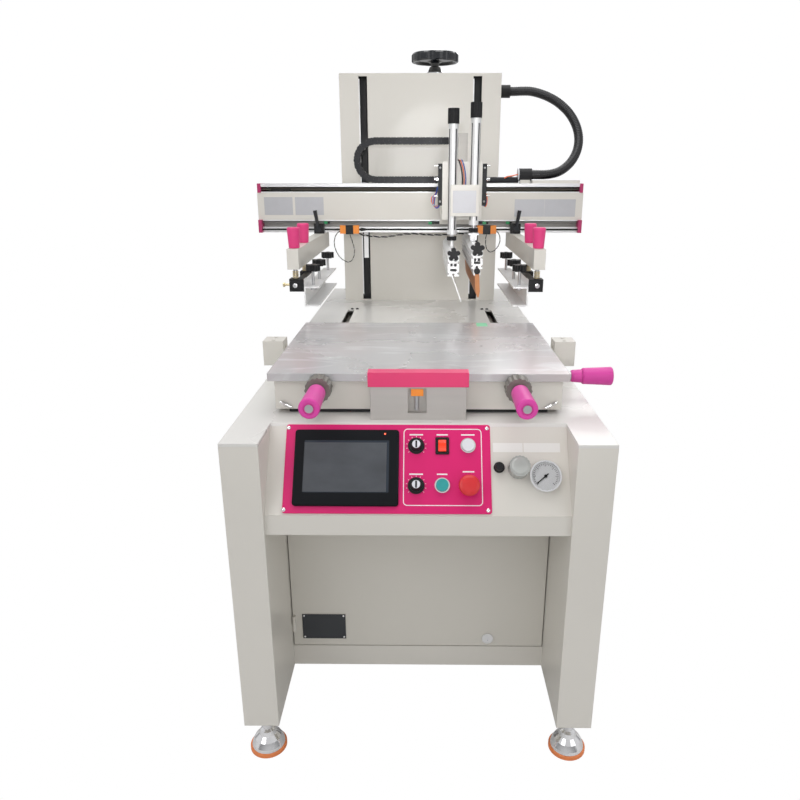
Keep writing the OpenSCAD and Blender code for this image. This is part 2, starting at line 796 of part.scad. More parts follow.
module regulator_knob() {
    color([0.72, 0.72, 0.74]) seat() on_slope(regulator_p[0], regulator_p[1]) {
        translate([0, 0, -16]) cylinder(d = 12, h = 30);
        difference() {
            translate([0, 0, 6 + gap]) cylinder(d = regulator_d, h = 26);
            for (i = [0:17]) rotate(i * 20) translate([regulator_d / 2 + 1, 0, 9]) cylinder(d = 4, h = 30);
        }
    }
}
module gauge_needle() {
    color([0.05, 0.05, 0.05]) seat() on_slope(gauge_p[0], gauge_p[1]) rotate(130) {
        translate([0, 0, 8]) cylinder(d = 2, h = 5.4);
        translate([0, 0, 12.6]) cylinder(d = 6, h = 1.4);
        translate([-1, -7, 12.6]) cube([2, gauge_d / 2 - 1, 1]);
    }
}

// Front stop of the table: box, padded lip, buffer and sensor.
module front_stop() {
    color([0.62, 0.63, 0.64]) seat() {
        difference() {
            block(-stop_w / 2, stop_w / 2, stop_y, stop_y + stop_t, 0, stop_up);
            block(-20, 16, stop_y - 1, stop_y + 12, 14, stop_up - 5);
        }
        color([0.85, 0.12, 0.42]) block(-stop_w / 2 - 4, stop_w / 2 + 4, stop_y - 5, stop_y + stop_t, stop_up, stop_up + lip_h);
        color([0.95, 0.45, 0.08]) block(-14, 10, stop_y - 2, stop_y + 12, 50, stop_up - 5);
        color([0.1, 0.1, 0.1]) rod_z(-3, stop_y + 4, 20, 9, 31);
        // buffer that meets the apron
        color([0.1, 0.1, 0.1]) rod_y(60, stop_y + stop_t - e, 34, 18, table_y + apron_in - gap - stop_y - stop_t + e);
        color([0.1, 0.1, 0.1]) rod_y(-60, stop_y + stop_t - e, 34, 18, table_y + apron_in - gap - stop_y - stop_t + e);
    }
}

// Table base: runner blocks, posts through the deck slots, apron and ears.
apron_w = table_w - 2 * apron_in + 2;
apron_y = table_y + apron_in;
apron_d = table_d - 2 * apron_in;
module runner(s, y) {
    x = s * slot_pitch / 2;
    difference() {
        block(x - block_w / 2, x + block_w / 2, y - block_l / 2, y + block_l / 2, block_top - block_h, block_top);
        block(x - rail_w / 2 - gap, x + rail_w / 2 + gap, y - block_l, y + block_l, block_top - block_h - 1, rail_low + rail_t + gap);
    }
    block(x - slot_w / 2 + 4, x + slot_w / 2 - 4, y - 25, y + 25, block_top - e, base_up + e);
    // arm of the right front block to the slider on the drive tube
    if (s > 0 && y < post_b) block(x - 90, x - block_w / 2 + e, y - 20, y + 20, block_top - 20, block_top - 4);
}
module ear(s) {
    mirror([s < 0 ? 1 : 0, 0, 0]) difference() {
        union() {
            block(apron_w / 2 - e, 378, ear_y - 26, ear_y + 26, 16, 44);
            block(328, 378, ear_y - 26, ear_y + 26, 16, 76);
        }
        for (y = [-14, 14]) rod_z(353, ear_y + y, 60, 9, 20);
        rod_x(320, ear_y, 56, 10, 80);
    }
}
module table_base() {
    color([0.86, 0.85, 0.80]) seat() difference() {
        union() {
            for (s = [-1, 1], y = [post_a, post_b]) runner(s, y);
            block(-apron_w / 2, apron_w / 2, apron_y, apron_y + apron_d, base_up, base_up + base_t);
            difference() {
                block(-apron_w / 2, apron_w / 2, apron_y, apron_y + apron_d, apron_low, apron_top);
                block(-apron_w / 2 + 3, apron_w / 2 - 3, apron_y + 3, apron_y + apron_d - 3, apron_low - 1, apron_top + 1);
            }
            // pads that carry the cross plate
            for (sx = [-1, 1], y = [table_mid - 150, table_mid + 150]) {
                block(sx * 200 - 30, sx * 200 + 30, y - 20, y + 20, base_up + base_t - e, cross_up - gap);
            }
            for (s = [-1, 1]) {
                ear(s);
                // steel boss and ribbed collar of each front spindle
                rod_y(s * grip_x, apron_y - 20, spindle_up, 14.4, 20 + e);
                translate([s * grip_x, apron_y - 18, deck_z + spindle_up]) rotate([90, 0, 0]) linear_extrude(32)
                    polygon([for (i = [0:31]) (collar_d / 2 - (i % 2) * 2) * [cos(i * 11.25), sin(i * 11.25)]]);
            }
        }
        for (s = [-1, 1]) rod_y(s * grip_x, apron_y - 60, spindle_up, spindle_d + 2 * run, 80);
        // slot for the bearing tube of the side spindle
        block(apron_w / 2 - 10, apron_w / 2 + 10, side_y - 16, side_y + 16, side_up - 11, side_up + 11);
    }
}

// Cross plate: moves front to back on the pads, with the spindle nuts.
module table_cross_plate() {
    color([0.55, 0.56, 0.58]) seat() difference() {
        union() {
            block(-plate_x1, plate_x1, table_mid - 210, table_mid + 190, cross_up, cross_up + cross_plate_t);
            for (s = [-1, 1]) block(s * grip_x - 16, s * grip_x + 16, table_mid - 210, table_mid - 180, cross_up, table_up - 9);
            // ribs that guide the top
            for (y = shoe_y) block(-170, 170, y - 8, y + 8, cross_up + cross_plate_t - e, cross_up + cross_plate_t + 10);
            // bearing of the side spindle and its tube through the apron
            block(plate_x1 - 25, plate_x1, side_y - 18, side_y + 18, cross_up, side_up + 14);
            rod_x(plate_x1 - e, side_y, side_up, 20, side_x - 20 - gap - plate_x1);
        }
        for (s = [-1, 1]) rod_y(s * grip_x, table_mid - 220, spindle_up, spindle_d + 2 * run, 60);
        rod_x(plate_x1 - 40, side_y, side_up, spindle_d + 2 * run, 200);
    }
}

// Table top with folded edge, guide shoes and the nut of the side spindle.
module table_top() {
    color([0.78, 0.78, 0.79]) seat() difference() {
        union() {
            difference() {
                block(-table_w / 2, table_w / 2, table_y, table_y + table_d, table_low, table_up);
                block(-table_w / 2 + 3, table_w / 2 - 3, table_y + 3, table_y + table_d - 3, table_low - 1, table_up - 8);
            }
            for (y = shoe_y, s = [-1, 1]) {
                block(-170, 170, y + s * 12 - 3, y + s * 12 + 3, cross_up + cross_plate_t + gap, table_up - 8 + e);
            }
            block(120, 150, side_y - 14, side_y + 14, cross_up + cross_plate_t + gap, table_up - 8 + e);
        }
        rod_x(110, side_y, side_up, spindle_d + 2 * run, 60);
    }
}

// Coloured spindle grips. The spindles turn in the nuts of the plates.
module front_grip(s) {
    seat() translate([s * grip_x, apron_y - 60, deck_z + spindle_up]) rotate([90, 0, 0]) {
        grip(grip_d, grip_l);
        translate([0, 0, -118]) cylinder(d = spindle_d, h = 119);
    }
}
module front_grip_left() {
    color([0.85, 0.12, 0.42]) front_grip(-1);
}
module front_grip_right() {
    color([0.85, 0.12, 0.42]) front_grip(1);
}
module side_grip() {
    color([0.85, 0.12, 0.42]) seat() translate([side_x, side_y, deck_z + side_up]) rotate([0, 90, 0]) {
        grip(grip_d, 64);
        translate([0, 0, -230]) cylinder(d = spindle_d, h = 231);
        translate([0, 0, -20]) cylinder(d = 18, h = 21);
    }
}

// Beam profiles with the slide rods, belt, motor, lift rod and the blocks
// that run on the column rails.
module stadium(l, r) {
    union() {
        translate([-l / 2, -r]) square([l, 2 * r]);
        for (s = [-1, 1]) translate([s * l / 2, 0]) circle(r);
    }
}
module along_x(x0, l) {
    translate([x0, 0, deck_z]) rotate([90, 0, 90]) linear_extrude(l) children();
}
module upper_section() {
    difference() {
        translate([beam_y, upper_up]) square([beam_d, top_h]);
        translate([beam_y + 3, groove_low]) square([beam_d - 6, top_h - 6]);
        translate([beam_y - 1, groove_low]) square([10, groove_h]);
    }
}
module lower_section() {
    difference() {
        translate([beam_y, beam_up]) square([beam_d, low_h]);
        translate([beam_y - 1, low_groove]) square([22, low_groove_h]);
        translate([beam_y + 30, beam_up + 20]) square([beam_d - 34, low_h - 24]);
        // T-slot on the underside for the arms
        translate([pulley_y - 5, beam_up - 1]) square([10, 8]);
        translate([pulley_y - 11, beam_up + 5]) square([22, 8]);
    }
}
module guide_block(s, up) {
    x = s * guide_pitch / 2;
    difference() {
        block(x - head_block_w / 2, x + head_block_w / 2, col_y + 7, col_rail_y - 3, up, up + 70);
        block(x - rail_w / 2 - gap, x + rail_w / 2 + gap, col_rail_y - rail_t - gap, col_rail_y, up - 1, up + 71);
    }
    block(x - guide_slot / 2 + 4, x + guide_slot / 2 - 4, beam_y + beam_d + mount_t, col_y + 7 + e, up + 5, up + 65);
}
module beam_profiles() {
    color([0.72, 0.73, 0.75]) seat() {
        along_x(-profile_l / 2, profile_l) upper_section();
        along_x(-profile_l / 2, profile_l) lower_section();
        // slide rods in the two grooves and the sensor rod in front
        rod_x(-profile_l / 2, rod_y, rod_up, rod_d, profile_l);
        rod_x(-profile_l / 2, rod_y, low_rod_up, low_rod_d, profile_l);
        rod_x(-profile_l / 2, sensor_rod_y, sensor_rod_up, sensor_rod_d, profile_l);
        // toothed belt loop, idler and the motor with its shaft
        translate([0, pulley_y, deck_z + groove_low + 3]) linear_extrude(belt_h) difference() {
            stadium(2 * pulley_x, pulley_d / 2 + belt_t + gap);
            stadium(2 * pulley_x, pulley_d / 2 + gap);
        }
        rod_z(-pulley_x, pulley_y, groove_low - e, pulley_d + 2 * gap, belt_h + 5);
        rod_z(pulley_x, pulley_y, face_up + 6, 56, face_h - 6 + e);
        rod_z(pulley_x, pulley_y, groove_low - 3 - e, 10, 16);
        // lift rod, piston and the bar that joins the guide blocks
        for (s = [-1, 1], up = [beam_up + 15, beam_up + 95]) guide_block(s, up);
        block(-guide_pitch / 2 + head_block_w / 2 - e, guide_pitch / 2 - head_block_w / 2 + e, col_y + 8, col_rail_y - 4, beam_up + 60, beam_up + 85);
        block(-30, 76, col_y + 8, lift_y + 20, beam_up + 60, beam_up + 85);
        rod_z(0, lift_y, 60, 20, beam_up + 1);
        rod_z(0, lift_y, 46, lift_d - 10 - 2 * run, 20);
    }
}

// Painted beam parts: face box, rear mounting plate, belt cover, loom gland.
module beam_body() {
    color([0.88, 0.87, 0.83]) seat() {
        difference() {
            block(-beam_l / 2 - 2, beam_l / 2 + 2, beam_y, beam_y + beam_d, face_up, upper_up);
            block(-beam_l / 2 + 1, beam_l / 2 - 1, beam_y + 3, beam_y + beam_d - 3, face_up + 3, upper_up - 3);
            rod_z(pulley_x, pulley_y, face_up + 5, 60, face_h);
        }
        block(-250, 250, beam_y + beam_d, beam_y + beam_d + mount_t, beam_up, beam_top);
        block(-249, 249, beam_y + beam_d - e, beam_y + beam_d + 1, face_up + 1, upper_up - 1);
        // belt cover on top at the right
        block(beam_l / 2 - 171, beam_l / 2 - 8, pulley_y - 30, pulley_y + 30, beam_top, beam_top + 10);
        // loom gland on its bracket
        difference() {
            union() {
                rod_x(346, gland_y, gland_up, hose_d + 10, gland_x - 346);
                block(352, 386, gland_y - 12, gland_y + 12, beam_top, gland_up - 10);
            }
            rod_x(356, gland_y, gland_up, hose_d, 60);
        }
    }
}
module beam_end_caps() {
    color([0.85, 0.12, 0.42]) seat() for (s = [-1, 1]) {
        x0 = s > 0 ? profile_l / 2 : -profile_l / 2 - cap_t;
        block(x0, x0 + cap_t, beam_y - 2, beam_y + beam_d, upper_up, beam_top);
        block(x0, x0 + cap_t, sensor_rod_y - 8, beam_y + beam_d, beam_up, face_up);
    }
}
module drive_pulley() {
    color([0.12, 0.12, 0.13]) seat() translate([pulley_x, pulley_y, deck_z + groove_low + 1]) difference() {
        union() {
            cylinder(d = pulley_d, h = 14);
            cylinder(d = pulley_d + 1, h = 1.5);
        }
        translate([0, 0, -1]) cylinder(d = 10 + 2 * run, h = 20);
        for (i = [0:17]) rotate(i * 20) translate([pulley_d / 2 + 1.2, 0, 2]) cylinder(d = 5, h = 14);
    }
}

// Two stroke sensors clamped on the sensor rod.
sensor_x = [-245, 233];
module stroke_sensor(x) {
    difference() {
        union() {
            color([0.95, 0.45, 0.08]) block(x - 33, x - 13, sensor_rod_y - 9, sensor_rod_y + 9, sensor_rod_up - 14, sensor_rod_up + 14);
            color([0.1, 0.1, 0.1]) block(x - 13 - e, x + 13 + e, sensor_rod_y - 10, sensor_rod_y + 9, sensor_rod_up - 16, sensor_rod_up + 14);
            color([0.95, 0.45, 0.08]) block(x + 13, x + 33, sensor_rod_y - 9, sensor_rod_y + 9, sensor_rod_up - 14, sensor_rod_up + 14);
        }
        rod_x(x - 40, sensor_rod_y, sensor_rod_up, sensor_rod_d, 80);
    }
}
module stroke_sensors() {
    seat() for (x = sensor_x) stroke_sensor(x);
}

// Carriage: slide plate with shoes, box arm, side plates, cover, chain bracket.
module carriage_body() {
    color([0.88, 0.87, 0.83]) seat() {
        x0 = car_x - car_w / 2;
        x1 = car_x + car_w / 2;
        block(x0, x1, slide_y, slide_y + slide_t, beam_up + 30, car_top);
        // shoes on the two slide rods
        difference() {
            block(x0 + 8, x1 - 8, slide_y + slide_t - e, rod_y + 6, rod_up - 6, rod_up + 6);
            rod_x(x0, rod_y, rod_up, rod_d + 2 * run, car_w);
        }
        difference() {
            block(x0 + 8, x1 - 8, slide_y + slide_t - e, rod_y + 5, low_rod_up - 4.5, low_rod_up + 4.5);
            rod_x(x0, rod_y, low_rod_up, low_rod_d + 2 * run, car_w);
        }
        // box arm, open below
        difference() {
            block(x0, x1, car_y, slide_y + e, car_low, car_top);
            block(x0 + 4, x1 - 4, car_y + 4, slide_y - 10, car_low - 1, car_top - 4);
        }
        // dark side plates
        color([0.1, 0.1, 0.1]) block(x0 - 12, x0, car_y + 4, car_y + 60, 368, 490);
        color([0.1, 0.1, 0.1]) block(x1, x1 + 14, car_y + 4, car_y + 60, 368, 490);
        // shallow cover in front of the tubes, on a web between them
        difference() {
            block(cover_x - cover_w / 2, cover_x + cover_w / 2, cover_y, cover_y + cover_t, cover_low, cover_low + cover_h);
            block(cover_x - cover_w / 2 + 2, cover_x + cover_w / 2 - 2, cover_y + 3, car_y, cover_low + 2, cover_low + cover_h - 2);
        }
        block(122, 142, cover_y + 2, car_y + e, cover_low + 10, cover_low + cover_h - 10);
        // bracket that carries the chain's moving end
        block(128, 160, slide_y, slide_y + 5, car_top - e, 590);
        block(128, 133, slide_y, chain_y + chain_w / 2, 550, 590);
    }
}

// Press cylinders: tubes with end caps, clamped to the carriage face.
module press_tube(x, d, low, top) {
    difference() {
        union() {
            rod_z(x, tube_y, low, d, top - low);
            rod_z(x, tube_y, low, d + 3, 14);
            rod_z(x, tube_y, top - 14, d + 3, 14);
            for (up = [car_low + 20, car_top - 50]) block(x - 10, x + 10, tube_y, car_y, up, up + 26);
        }
        rod_z(x, tube_y, low + 16, d - 6, top - low - 60);
        rod_z(x, tube_y, low - 1, press_rod_d + 2 * run, 20);
        rod_z(x, tube_y, top - 46, 8 + 2 * run, 60);
    }
}
module press_cylinders() {
    color([0.8, 0.81, 0.82]) seat() {
        press_tube(flood_x, tube_d, flood_tube_low, flood_tube_top);
        press_tube(squeegee_x, tube_d, squeegee_tube_low, squeegee_tube_top);
    }
}
module stroke_knob(x, top) {
    seat() translate([x, tube_y, deck_z + top + gap]) {
        difference() {
            cylinder(d = 34, h = 42);
            for (i = [0:11]) rotate(i * 30) translate([18.4, 0, 4]) cylinder(d = 5, h = 40);
        }
        translate([0, 0, -40]) cylinder(d = 8, h = 41);
    }
}
module flood_stroke_knob() {
    color([0.12, 0.12, 0.13]) stroke_knob(flood_x, flood_tube_top);
}
module squeegee_stroke_knob() {
    color([0.12, 0.12, 0.13]) stroke_knob(squeegee_x, squeegee_tube_top);
}

// T-slotted blade bar seen from its end, with chambers along its length.
module bar_section(h) {
    w = bar_w / 2;
    difference() {
        polygon([[-w, 0], [w, 0], [w, h - 10], [w - 9, h], [9 - w, h], [-w, h - 10]]);
        for (s = [-1, 1], z = [8, h - 27]) translate([s * w - 4, z - 3]) square([8, 6]);
        for (s = [-1, 1], z = [h - 37, h - 22]) translate([s * 5.2 - 3.4, z]) square([6.8, 8]);
        translate([-9, 14]) square([18, 7]);
        translate([-3, -1]) square([6, 9]);
    }
}
module bar_at(x, up, h) {
    translate([x + bar_dx, blade_y + blade_l, deck_z + up]) rotate([90, 0, 0]) linear_extrude(blade_l) bar_section(h);
}
// lug on the bar's front end with a star knob in front
module bar_front(x, top, d) {
    color([0.1, 0.1, 0.1]) {
        block(x + bar_dx - 6, x + bar_dx + 6, blade_y + 4, blade_y + 30, top - 1, top + 11);
        rod_y(x + bar_dx, blade_y - 5, top - 3, 8, 12);
        translate([x + bar_dx, blade_y - 2, deck_z + top - 3]) rotate([90, 0, 0]) star_knob(d, 12);
    }
}
// piston rod with piston and a star nut
module press_rod(x, up, top, d, nut_up) {
    rod_z(x, tube_y, up, press_rod_d, top - up);
    rod_z(x, tube_y, top - 16, d - 6 - 2 * run, 16);
    translate([x, tube_y, deck_z + nut_up]) star_knob(30, 12);
}
module flood_bar() {
    color([0.75, 0.76, 0.77]) seat() {
        bar_at(flood_x, flood_bar_up, flood_h);
        bar_front(flood_x, flood_bar_up + flood_h, 37);
        press_rod(flood_x, flood_bar_up + flood_h - 4, flood_tube_low + 70, tube_d, 266);
        // steel flood blade below the bar
        translate([flood_x - 6, blade_y, deck_z + flood_bar_up + 1]) rotate([0, -flood_tilt, 0])
            translate([-1.5, 0, -78]) cube([3, blade_l, 80]);
    }
}
fork_up = pivot_up - 5.5;
module squeegee_lift() {
    color([0.75, 0.76, 0.77]) seat() {
        difference() {
            union() {
                block(squeegee_x - 10, squeegee_x + 10, tube_y - 20, tube_y - 10 - gap, fork_up, pivot_up + 12);
                block(squeegee_x - 10, squeegee_x + 10, tube_y + 10 + gap, tube_y + 20, fork_up, pivot_up + 12);
                block(squeegee_x - 16, squeegee_x + 16, tube_y - 20, tube_y + 20, pivot_up + 10, pivot_up + 16);
            }
            rod_y(squeegee_x, tube_y - 30, pivot_up, pivot_d, 60);
        }
        rod_y(squeegee_x, tube_y - 22, pivot_up, pivot_d, 44);
        press_rod(squeegee_x, pivot_up + 16 - e, squeegee_tube_low + 70, tube_d, pivot_up + 18);
    }
}
module squeegee_bar() {
    color([0.75, 0.76, 0.77]) seat() {
        bar_at(squeegee_x, squeegee_bar_up, squeegee_h);
        bar_front(squeegee_x, squeegee_bar_up + squeegee_h, 40);
        // lug on the pivot pin
        difference() {
            union() {
                block(squeegee_x - 6, squeegee_x + 6, tube_y - 10, tube_y + 10, squeegee_bar_up + squeegee_h - 4, pivot_up);
                rod_y(squeegee_x, tube_y - 10, pivot_up, 18, 20);
            }
            rod_y(squeegee_x, tube_y - 30, pivot_up, pivot_d + 2 * run, 60);
        }
        // clamp strips that grip the rubber, with their screw knob in front
        squeegee_local() {
            translate([-10, 0, -16]) cube([4, blade_l, 22]);
            translate([6, 0, -16]) cube([4, blade_l, 22]);
        }
        color([0.1, 0.1, 0.1]) rod_y(squeegee_x + bar_dx, blade_y - 12, squeegee_bar_up - 5, 17, 12 + e);
    }
}
module squeegee_local() {
    translate([squeegee_x + bar_dx, blade_y, deck_z + squeegee_bar_up - 1.5]) rotate([0, -rubber_tilt, 0]) children();
}
module squeegee_rubber() {
    color([0.75, 0.45, 0.25]) seat() squeegee_local() {
        translate([0, 0.2, 0]) rotate([-90, 0, 0]) linear_extrude(blade_l - 0.4)
            polygon([[-6, 1], [6, 1], [6, 62], [1.5, 79], [-1.5, 79], [-6, 62]]);
    }
}

// Energy chain, built link by link. Each link has an outer half on its own
// pin and an inner half on the next one, joined by a bar above and below.
module side_plate(y0, t) {
    rotate([90, 0, 0]) translate([0, 0, -y0 - t]) linear_extrude(t) children();
}
module link_end(r, flats) {
    if (flats > 0)
        polygon([for (k = [0:flats - 1]) [r * cos(360 * k / flats), r * sin(360 * k / flats)]]);
    else
        circle(r, $fn = 32);
}
// One link. Its pins join it to the link before it; a bored link takes the
// pins of the next run.
module chain_link(flats = 0, bored = false) {
    r = chain_h / 2;
    ri = r - 0.8;
    t = 2.5;
    s = 0.2;
    for (y0 = [-chain_w / 2, chain_w / 2 - t]) side_plate(y0, t) difference() {
        union() {
            link_end(r, flats);
            translate([0, 0.6 - r]) square([0.6 * link_p, 2 * r - 1.2]);
        }
        translate([link_p, 0]) circle(r + gap, $fn = 64);
    }
    for (y0 = [-chain_w / 2 + t + s, chain_w / 2 - 2 * t - s]) side_plate(y0, t) difference() {
        union() {
            translate([link_p, 0]) link_end(ri, flats);
            translate([0.35 * link_p, 0.6 - ri]) square([0.65 * link_p, 2 * ri - 1.2]);
        }
        circle(ri + gap, $fn = 64);
        if (bored) translate([link_p, 0]) circle(4 + run, $fn = 32);
    }
    for (y0 = [-chain_w / 2 + 1, chain_w / 2 - 2 * t]) side_plate(y0, 2 * t - 1) circle(4, $fn = 32);
    for (z = [-r, r - t]) translate([0.55 * r, -chain_w / 2, z]) cube([link_p - 1.21 * r, chain_w, t]);
}
module chain_run(x, up, n, s) {
    for (i = [0:n - 1]) translate([x + s * i * link_p, chain_y, deck_z + up])
        mirror([s < 0 ? 1 : 0, 0, 0]) chain_link(bored = s < 0 && i == n - 1);
}
lower_links = 12;
upper_links = 13;
module chain_lower() {
    color([0.08, 0.08, 0.09]) seat() {
        chain_run(chain_fixed_x, chain_mid_low, lower_links, -1);
        // end clamp and the wrapped loom that goes on to the gland
        block(chain_fixed_x, chain_fixed_x + 24, chain_y - chain_w / 2, chain_y + chain_w / 2, beam_top, beam_top + 22);
        rod_x(chain_fixed_x + 23, gland_y - 5, beam_top + 11, 20, 346 - chain_fixed_x - 23);
    }
}
module chain_bend() {
    color([0.08, 0.08, 0.09]) seat() translate([bend_x, chain_y, deck_z + chain_mid_low + chain_r]) {
        for (i = [0:bend_links - 1]) rotate([0, 180 + (i + 0.5) * 180 / bend_links, 0]) translate([0, 0, chain_r * cos(90 / bend_links)])
            translate([-link_p / 2, 0, 0]) chain_link(20, i == bend_links - 1);
    }
}
module chain_upper() {
    color([0.08, 0.08, 0.09]) seat() {
        chain_run(bend_x, chain_mid_top, upper_links, 1);
        block(chain_end_x, 128, chain_y - chain_w / 2, chain_y + chain_w / 2, chain_mid_top - 9, chain_mid_top + 9);
    }
}

// Frame arms: box arms under the beam with a T-foot in its slot.
module arm(x) {
    difference() {
        block(x - arm_w / 2, x + arm_w / 2, arm_y, beam_y + beam_d - 4, arm_low, arm_low + arm_h);
        block(x - arm_w / 2 + 3, x + arm_w / 2 - 3, arm_y + 3, beam_y - 60, arm_low + 3, arm_low + arm_h - 3);
        for (y = [rod_front_y, rod_rear_y]) rod_z(x, y, arm_low - 1, holder_rod_d + 2 * run, arm_h + 2);
    }
    // T-foot in the beam's slot
    block(x - 10, x + 10, pulley_y - 4, pulley_y + 4, beam_up - 1, beam_up + 6);
    block(x - 10, x + 10, pulley_y - 10, pulley_y + 10, beam_up + 6 - e, beam_up + 12);
    // clamp block in front of the beam
    color([0.1, 0.1, 0.1]) difference() {
        block(x - 17, x + 17, beam_y - 44, beam_y - 22, arm_low + arm_h - e, beam_up + 33);
        rod_y(x, beam_y - 60, beam_up + 16, 8 + 2 * run, 60);
    }
}
module arm_left() {
    color([0.88, 0.87, 0.83]) seat() arm(-arm_left_x);
}
module arm_right() {
    color([0.88, 0.87, 0.83]) seat() arm(arm_right_x);
}
module clamp_lever(x, lean) {
    seat() {
        rod_y(x, beam_y - 60, beam_up + 16, 8, 36);
        translate([x, beam_y - 64, deck_z + beam_up + 16]) rotate([-90, 0, 0]) cylinder(d = 20, h = 19);
        translate([x, beam_y - 54, deck_z + beam_up + 16]) rotate([0, lean, 0]) cylinder(d1 = 10, d2 = 14, h = 62);
    }
}
module clamp_lever_left() {
    color([0.07, 0.07, 0.08]) clamp_lever(-arm_left_x, -9);
}
module clamp_lever_right() {
    color([0.07, 0.07, 0.08]) clamp_lever(arm_right_x, 9);
}

// Frame holder: C channel, black bracket with two sprung rods. Drawn for
// the left side; the right one is its mirror image.
module frame_holder(x) {
    web = x - web_in;
    // channel, open towards the frame
    difference() {
        block(web - channel_w, web, channel_y, channel_y + channel_l, channel_low, channel_low + channel_h);
        block(web - channel_w - 1, web - channel_t, channel_y - 1, channel_y + channel_l + 1, channel_low + channel_t, channel_low + channel_h - channel_t);
        for (y = clamp_y) rod_z(web - channel_w / 2, y, channel_low + channel_h - 10, clamp_d + 2 * run, 20);
    }
    // bracket blocks and the bar between them
    color([0.08, 0.08, 0.09]) {
        block(web - e, x + 16, rod_front_y - 18, rod_front_y + 18, block_up, block_up + block_hh);
        block(web - e, x + 13, rod_rear_y - 18, rod_rear_y + 18, block_up, block_up + block_hh);
        block(web - e, web + 22, rod_front_y + 17, rod_rear_y - 17, block_up, block_up + block_hh - 2);
    }
    // rods with the coils of their springs
    for (y = [rod_front_y, rod_rear_y]) {
        rod_z(x, y, block_up + 10, holder_rod_d, arm_low + arm_h + height_knob_h - 8 - block_up - 10);
        for (i = [0:4]) translate([x, y, deck_z + block_up + block_hh + 2 + i * 4.2])
            rotate_extrude($fn = 32) translate([holder_rod_d / 2 + 1.2, 0]) circle(1.5, $fn = 16);
    }
}
module frame_holder_left() {
    color([0.75, 0.76, 0.77]) seat() mirror([1, 0, 0]) frame_holder(arm_left_x);
}
module frame_holder_right() {
    color([0.75, 0.76, 0.77]) seat() frame_holder(arm_right_x);
}
// tapered height knob with a blind bore over the rod's end
module height_knob(x, y) {
    seat() translate([x, y, deck_z + arm_low + arm_h + gap]) difference() {
        rotate_extrude() polygon([
            [0, 0], [14, 0], [15, 2], [18, height_knob_h - 4], [16, height_knob_h], [0, height_knob_h]
        ]);
        translate([0, 0, -1]) cylinder(d = holder_rod_d + 2 * run, h = height_knob_h - 2);
    }
}
module height_knob_left_front() {
    color([0.85, 0.12, 0.42]) height_knob(-arm_left_x, rod_front_y);
}
module height_knob_left_rear() {
    color([0.85, 0.12, 0.42]) height_knob(-arm_left_x, rod_rear_y);
}
module height_knob_right_front() {
    color([0.85, 0.12, 0.42]) height_knob(arm_right_x, rod_front_y);
}
module height_knob_right_rear() {
    color([0.85, 0.12, 0.42]) height_knob(arm_right_x, rod_rear_y);
}
module clamp_screws(x) {
    cx = x - web_in - channel_w / 2;
    for (y = clamp_y) {
        rod_z(cx, y, channel_low + channel_h - 12, clamp_d, 52);
        rod_z(cx, y, channel_low + channel_h - 13, 18, 5);
        translate([cx, y, deck_z + channel_low + 94]) star_knob(star_d, star_h + 4);
    }
}
module clamp_screws_left() {
    color([0.1, 0.1, 0.1]) seat() mirror([1, 0, 0]) clamp_screws(arm_left_x);
}
module clamp_screws_right() {
    color([0.1, 0.1, 0.1]) seat() clamp_screws(arm_right_x);
}

// Free cords: the corrugated loom hose and the two sensor leads.
module loom_hose() {
    color([0.12, 0.12, 0.13]) seat() swept_tube([for (p = hose_points) [p[0], p[1], p[2] + deck_z]], hose_d, 12);
}
lead_left_points = [
    [-279, 1322, 270], [-290, 1321, 262], [-298, 1320, 246], [-300, 1319, 226], [-295, 1318, 204],
    [-284, 1317, 184], [-268, 1316, 170], [-252, 1316, 164], [-240, 1317, 170], [-232, 1318, 186],
    [-230, 1319, 206], [-234, 1320, 226], [-240, 1321, 244], [-245, 1322, 259]
];
lead_right_points = [
    [268, 1322, 270], [276, 1321, 262], [281, 1320, 246], [279, 1319, 228], [270, 1318, 212],
    [258, 1317, 202], [246, 1317, 200], [237, 1318, 208], [232, 1320, 222], [231, 1321, 240],
    [233, 1322, 259]
];
module lead(pts) {
    swept_tube([for (p = pts) [p[0], p[1], p[2] + deck_z]], lead_d, 8);
}
module sensor_lead_left() {
    color([0.08, 0.08, 0.08]) seat() lead(lead_left_points);
}
module sensor_lead_right() {
    color([0.08, 0.08, 0.08]) seat() lead(lead_right_points);
}

cabinet();
deck_plate();
levelling_feet();
door();
door_lock();
column();
linear_guides();
electrics_tray();
handwheel();
height_nut();
panel_plate();
touch_screen();
button_bezels();
stop_button();
green_button();
white_button();
rocker_switch();
speed_knob_upper();
speed_knob_lower();
regulator_knob();
valve_knob();
gauge_needle();
front_stop();
table_base();
table_cross_plate();
table_top();
front_grip_left();
front_grip_right();
side_grip();
beam_profiles();
beam_body();
beam_end_caps();
drive_pulley();
stroke_sensors();
carriage_body();
press_cylinders();
chain_lower();
chain_bend();
chain_upper();
flood_stroke_knob();
squeegee_stroke_knob();
flood_bar();
squeegee_lift();
squeegee_bar();
squeegee_rubber();
arm_left();
arm_right();
clamp_lever_left();
clamp_lever_right();
frame_holder_left();
frame_holder_right();
height_knob_left_front();
height_knob_left_rear();
height_knob_right_front();
height_knob_right_rear();
clamp_screws_left();
clamp_screws_right();
loom_hose();
sensor_lead_left();
sensor_lead_right();
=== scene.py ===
import math

import bmesh
import bpy
from mathutils import Matrix, Vector


